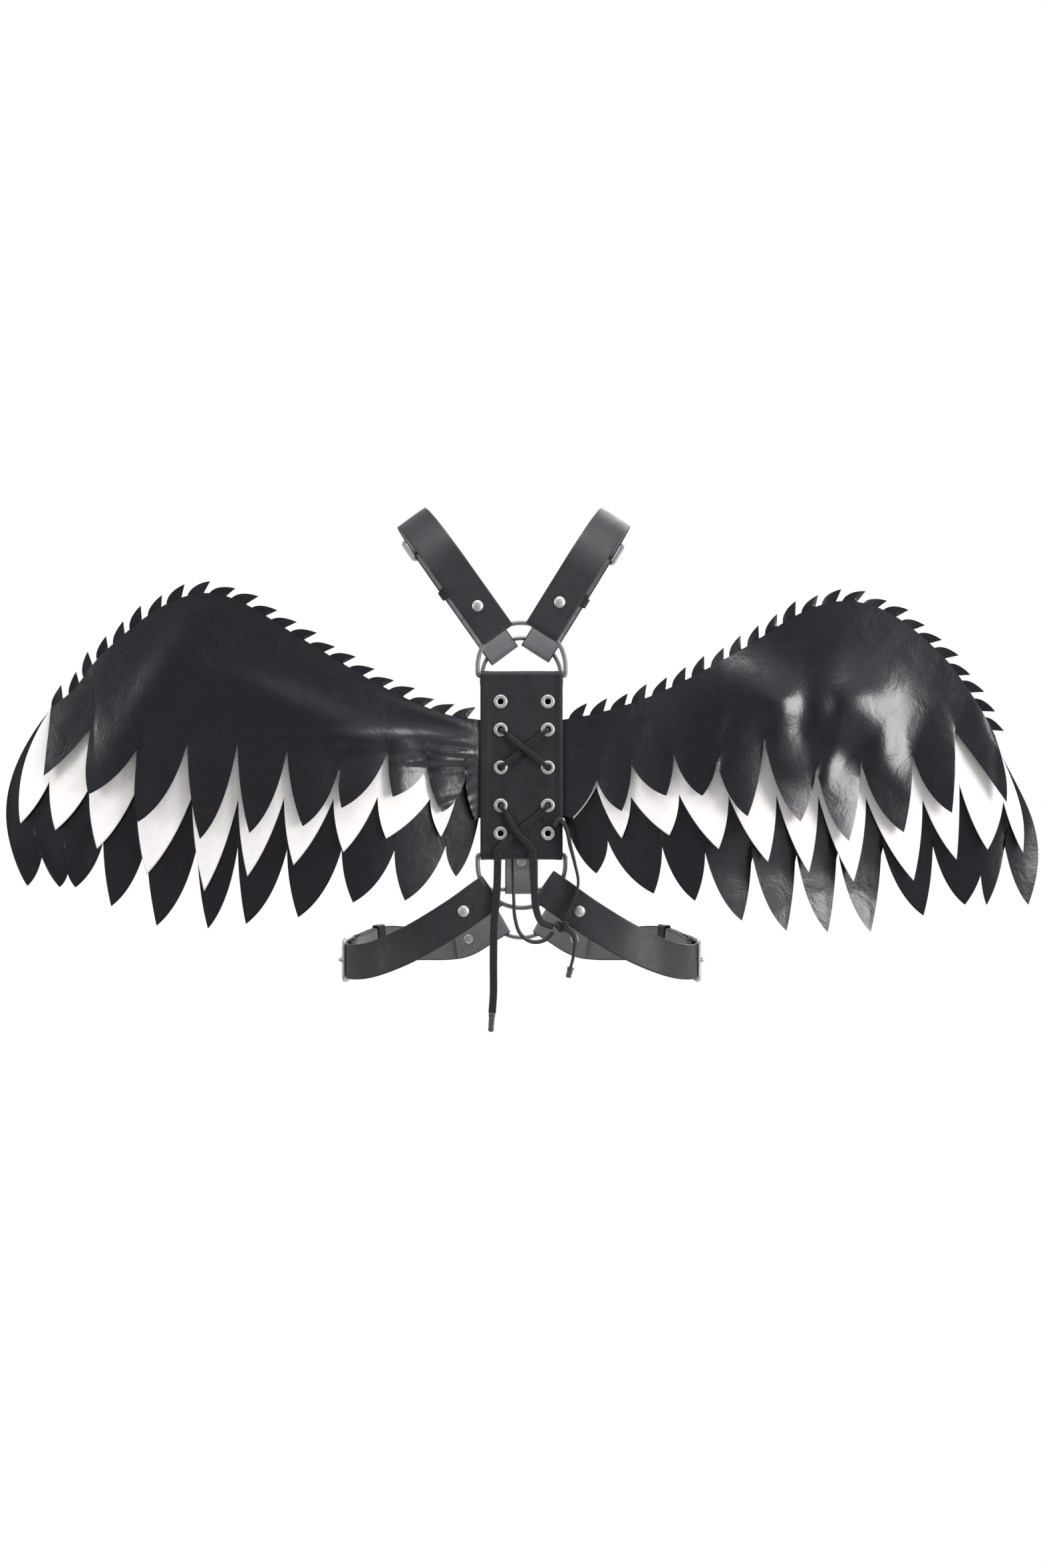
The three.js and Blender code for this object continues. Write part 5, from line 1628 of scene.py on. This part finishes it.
def lacing_path():
    """The laid lace: crossings on the front, upright runs behind, both ends led down to the panel's edge."""
    eye = {
        f"{side}{row}": np.array([EYELET_COLUMNS[column], 0.0, EYELET_ROWS[row - 1]])
        for column, side in enumerate("LR")
        for row in (2, 3, 4)
    }
    ends = [np.array(end) for end in LACING_ENDS]

    def passage(at, front, back):
        to_front, to_back = (unit((p - at) * [1, 0, 1]) for p in (front, back))
        # How far along the stretch in front, how far along the one behind, and the depth
        rows = (
            (9.0, 0, LACE_FRONT + 0.9),
            (5.4, 0, LACE_FRONT),
            (2.6, 0, LACE_FRONT + 0.1),
            (0.8, 0, LACE_FRONT + 1.7),
            (0, 0.8, LACE_BACK - 1.7),
            (0, 2.6, LACE_BACK),
            (0, 6, LACE_BACK),
        )
        return [at * [1, 0, 1] + to_front * f + to_back * b + [0, y, 0] for f, b, y in rows]

    def over(a, b, lift):
        return (a + b) / 2 * [1, 0, 1] + [0, LACE_FRONT + lift, 0]

    lead = [end + [0, 0, 2 * LACE_ROUND] for end in ends]
    route = [
        [ends[0], lead[0]],
        passage(eye["R4"], ends[0], eye["R3"]),
        passage(eye["R3"], eye["L2"], eye["R4"])[::-1],
        [over(eye["R3"], eye["L2"], CROSSING_OVER)],
        passage(eye["L2"], eye["R3"], eye["R2"]),
        passage(eye["R2"], eye["L3"], eye["L2"])[::-1],
        [over(eye["R2"], eye["L3"], CROSSING_UNDER)],
        passage(eye["L3"], eye["R2"], eye["L4"]),
        passage(eye["L4"], ends[1], eye["L3"])[::-1],
        [over(eye["L4"], ends[1], CROSSING_OVER)],
        [lead[1], ends[1]],
    ]
    return np.array([p for stretch in route for p in stretch]), list(eye.values())


def add_lacing():
    """The laid lace, flat on the panel and drawn in to a round bundle where it goes through an eyelet."""
    points, eyes = lacing_path()
    path = spline(points, LACE_STEP)
    near = np.min([np.hypot(path[:, 0] - e[0], path[:, 2] - e[2]) for e in eyes], axis=0)
    open_out = smooth_step(*LACING_OPENS, near)
    laid = smooth_step(*LACING_SPREAD, path[:, 2])
    width = LACING_BUNDLE + LACING_OPEN * open_out + (size("lace_width") - LACING_BUNDLE - LACING_OPEN) * laid
    thick = LACE_ROUND - LACING_FLATTEN * open_out
    section, across, up, lay = flat_lace(path, np.zeros(len(path)), width, thick)
    marks = {"lay": lay}
    add_tube("lacing_braid", path, section, across, up, lace_braid(), ("lacing",), marks=marks)


# Stage


def add_area(name, place, aim, extent, power):
    """A soft rectangular lamp at place, turned to face aim."""
    lamp = bpy.data.lights.new(name, "AREA")
    lamp.shape = "RECTANGLE"
    lamp.size, lamp.size_y = extent
    lamp.energy = power
    thing = new_object(name, lamp)
    thing.location = place
    thing.rotation_euler = (Vector(aim) - Vector(place)).to_track_quat("-Z", "Y").to_euler()


def add_world():
    """White to the eye; for the light on the harness a pale room, dark behind the camera, dim on the left."""
    world = bpy.data.worlds.new("studio_room")
    world.use_nodes = True
    world.node_tree.nodes.clear()
    node = partial(add_node, world.node_tree)
    way = node("SeparateXYZ", {"Vector": node("TexCoord").outputs["Generated"]}).outputs
    away = node(
        "MapRange",
        {"Value": way["Y"], "From Min": -1.0, "From Max": -0.68, "To Min": 0.0, "To Max": 1.0},
        interpolation_type="SMOOTHSTEP",
    )
    right = node(
        "MapRange",
        {"Value": way["X"], "From Min": -0.4, "From Max": 0.5, "To Min": 0.2, "To Max": 0.65},
        interpolation_type="SMOOTHSTEP",
    )
    glow = node("Math", {0: away, 1: right, 2: 0.3}, operation="MULTIPLY_ADD")
    room = node("Background", {"Color": linear("#f4f4f6"), "Strength": glow})
    white = node("Background", {"Color": (1.0, 1.0, 1.0, 1.0), "Strength": 1.0})
    seen = node("LightPath").outputs["Is Camera Ray"]
    node("OutputWorld", {"Surface": node("MixShader", {0: seen, 1: room, 2: white})})
    bpy.context.scene.world = world


def add_floor():
    """A round pale floor well below the harness, its rim rolled down."""
    share = np.linspace(0.02, 1, FLOOR_RINGS)[:, None]
    angle = 2 * np.pi * np.arange(FLOOR_SIDES) / FLOOR_SIDES
    r = FLOOR_RADIUS * share
    z = FLOOR_HEIGHT - FLOOR_ROLL * smooth_step(0.97, 1.0, share) + 0 * angle
    points = np.stack([r * np.cos(angle), FLOOR_CENTRE + r * np.sin(angle), z], axis=-1).reshape(-1, 3)
    faces = grid_quads(FLOOR_RINGS, FLOOR_SIDES, False, True).tolist() + [list(range(FLOOR_SIDES))[::-1]]
    mesh = bpy.data.meshes.new("studio_floor")
    mesh.from_pydata((points * MM).tolist(), [], faces)
    material, node, place = new_material("floor_paint")
    speck = node("TexNoise", {"Vector": place, "Scale": 40.0, "Detail": 4.0})
    tint = node("Mix", {"Factor": speck, "A": linear("#f2f2f2"), "B": linear("#ececec")}, data_type="RGBA")
    paint = node("BsdfPrincipled", {"Base Color": tint, "Roughness": 0.8})
    node("OutputMaterial", {"Surface": paint})
    mesh.materials.append(material)
    new_object("studio_floor", mesh)


def add_camera():
    """The photograph's view: square on to the back, level with the panel, the frame's long side upright."""
    lens = bpy.data.cameras.new("photo_view")
    lens.sensor_width = SENSOR_MM
    lens.lens = SENSOR_MM * (CAMERA_DISTANCE - REFERENCE_DEPTH) / FRAME_HEIGHT
    lens.clip_start, lens.clip_end = 0.05, 50.0
    camera = new_object("photo_view", lens)
    camera.location = (0.0, -CAMERA_DISTANCE, CAMERA_HEIGHT)
    camera.rotation_euler = (math.pi / 2, 0.0, 0.0)
    bpy.context.scene.camera = camera


# Operators


class HarnessStage(bpy.types.Operator):
    """Camera at the photograph's angle, soft lamps, white surround and a pale floor"""

    bl_idname = "harness.stage"
    bl_label = "Stage"

    def execute(self, context):
        context.scene.view_settings.view_transform = "Standard"
        add_camera()
        add_world()
        add_floor()
        for name, lamp in SOFTBOXES.items():
            add_area(name, *lamp)
        return {"FINISHED"}


class HarnessLaces(bpy.types.Operator):
    """Free laces as cords, with their tips and knot"""

    bl_idname = "harness.laces"
    bl_label = "Free laces"

    def execute(self, context):
        add_knot()
        left, right = (add_aglet(f"aglet_{side}", f"tail_{side}", AGLET_LENGTHS[side]) for side in SIDES)
        add_free_lace("tail_left")
        for name in ("strand_right", "loop_left", "loop_right"):
            add_free_lace(name)
        add_free_lace("tail_right")
        return {"FINISHED"}


class HarnessLacing(bpy.types.Operator):
    """Lace laid through the panel's eyelets"""

    bl_idname = "harness.lacing"
    bl_label = "Lacing"

    def execute(self, context):
        add_lacing()
        return {"FINISHED"}


class HarnessPanel(bpy.types.Operator):
    """Back panel with its border, hems and stitches"""

    bl_idname = "harness.back_panel"
    bl_label = "Back panel"

    def execute(self, context):
        add_panel()
        add_shade_sheet()
        add_stitches()
        return {"FINISHED"}


class HarnessEyelets(bpy.types.Operator):
    """Two columns of rolled eyelets"""

    bl_idname = "harness.eyelets"
    bl_label = "Eyelets"

    def execute(self, context):
        for label, x in zip(SIDES, EYELET_COLUMNS):
            for row, z in enumerate(EYELET_ROWS, 1):
                add_eyelet(f"eyelet_{label}_{row}", x, z)
        return {"FINISHED"}


class HarnessRings(bpy.types.Operator):
    """Four D-rings of nickel wire"""

    bl_idname = "harness.rings"
    bl_label = "D-rings"

    def execute(self, context):
        add_ring("ring_back_top", BAR_HEIGHT, 1, BACK_RING_Y)
        add_ring("ring_back_bottom", -BAR_HEIGHT, -1, BACK_RING_Y)
        add_ring("ring_chest", BAR_HEIGHT, 1, FRONT_RING_Y)
        add_ring("ring_front_waist", WAIST_RING_HEIGHT, -1, FRONT_RING_Y)
        return {"FINISHED"}


class HarnessStraps(bpy.types.Operator):
    """Shoulder, waist and front straps with their keepers"""

    bl_idname = "harness.straps"
    bl_label = "Straps"

    def execute(self, context):
        for name, (run, buckle) in strap_runs().items():
            add_strap(f"{name}_back", run, long_piece(buckle, BACK_FOLD_ENDS[name]), TAIL_HOLES)
            add_strap(f"{name}_front", run, short_piece(run.length, buckle))
            add_keeper(f"keeper_{name}", run, buckle + KEEPER_AT)
        run, fold = front_run(), fold_places(0.0)
        flat = level(FOLD_MIDDLE, run.length - FOLD_MIDDLE)
        add_strap("front_strap", run, np.concatenate([fold, flat, other_end(fold, run.length)]))
        return {"FINISHED"}


class HarnessBuckles(bpy.types.Operator):
    """Wire buckles with their prongs"""

    bl_idname = "harness.buckles"
    bl_label = "Buckles"

    def execute(self, context):
        for name, (run, buckle) in strap_runs().items():
            add_buckle(f"buckle_{name}", run, buckle)
        return {"FINISHED"}


class HarnessRivets(bpy.types.Operator):
    """Domed rivets through the folded strap ends"""

    bl_idname = "harness.rivets"
    bl_label = "Rivets"

    def execute(self, context):
        for name, (run, _) in strap_runs().items():
            add_rivet(f"rivet_{name}_back", run, STRAP_RIVET_AT)
            add_rivet(f"rivet_{name}_front", run, run.length - STRAP_RIVET_AT)
        run = front_run()
        add_rivet("rivet_front_strap_low", run, STRAP_RIVET_AT)
        add_rivet("rivet_front_strap_high", run, run.length - STRAP_RIVET_AT)
        return {"FINISHED"}


class HarnessFeathers(bpy.types.Operator):
    """Three feather tiers on each wing"""

    bl_idname = "harness.feathers"
    bl_label = "Feather tiers"

    def execute(self, context):
        for label in SIDES:
            for tier_name in TIERS:
                add_tier(label, tier_name)
        return {"FINISHED"}


class HarnessSpikes(bpy.types.Operator):
    """Strips of hooked spikes along the leading edges"""

    bl_idname = "harness.spikes"
    bl_label = "Spikes"

    def execute(self, context):
        for label in SIDES:
            add_spikes(label)
        return {"FINISHED"}


OPERATORS = (
    HarnessStage,
    HarnessLaces,
    HarnessLacing,
    HarnessPanel,
    HarnessEyelets,
    HarnessRings,
    HarnessStraps,
    HarnessBuckles,
    HarnessRivets,
    HarnessFeathers,
    HarnessSpikes,
)


class HarnessSidebar(bpy.types.Panel):
    """Sizes, colours and pieces of the harness"""

    bl_idname = "HARNESS_PT_sidebar"
    bl_label = "Wing harness"
    bl_space_type = "VIEW_3D"
    bl_region_type = "UI"
    bl_category = "Harness"

    def draw(self, context):
        for group in (context.scene.harness_sizes, context.scene.harness_colours):
            for key in type(group).__annotations__:
                self.layout.prop(group, key)
        for operator in OPERATORS:
            self.layout.operator(operator.bl_idname)


CLASSES = (HarnessSizes, HarnessColours, *OPERATORS, HarnessSidebar)


def register():
    for kind in CLASSES:
        bpy.utils.register_class(kind)
    bpy.types.Scene.harness_sizes = bpy.props.PointerProperty(type=HarnessSizes)
    bpy.types.Scene.harness_colours = bpy.props.PointerProperty(type=HarnessColours)


def unregister():
    del bpy.types.Scene.harness_colours
    del bpy.types.Scene.harness_sizes
    for kind in reversed(CLASSES):
        bpy.utils.unregister_class(kind)


def main():
    register()
    for operator in OPERATORS:
        group, name = operator.bl_idname.split(".")
        getattr(getattr(bpy.ops, group), name)()


if __name__ == "__main__":
    main()
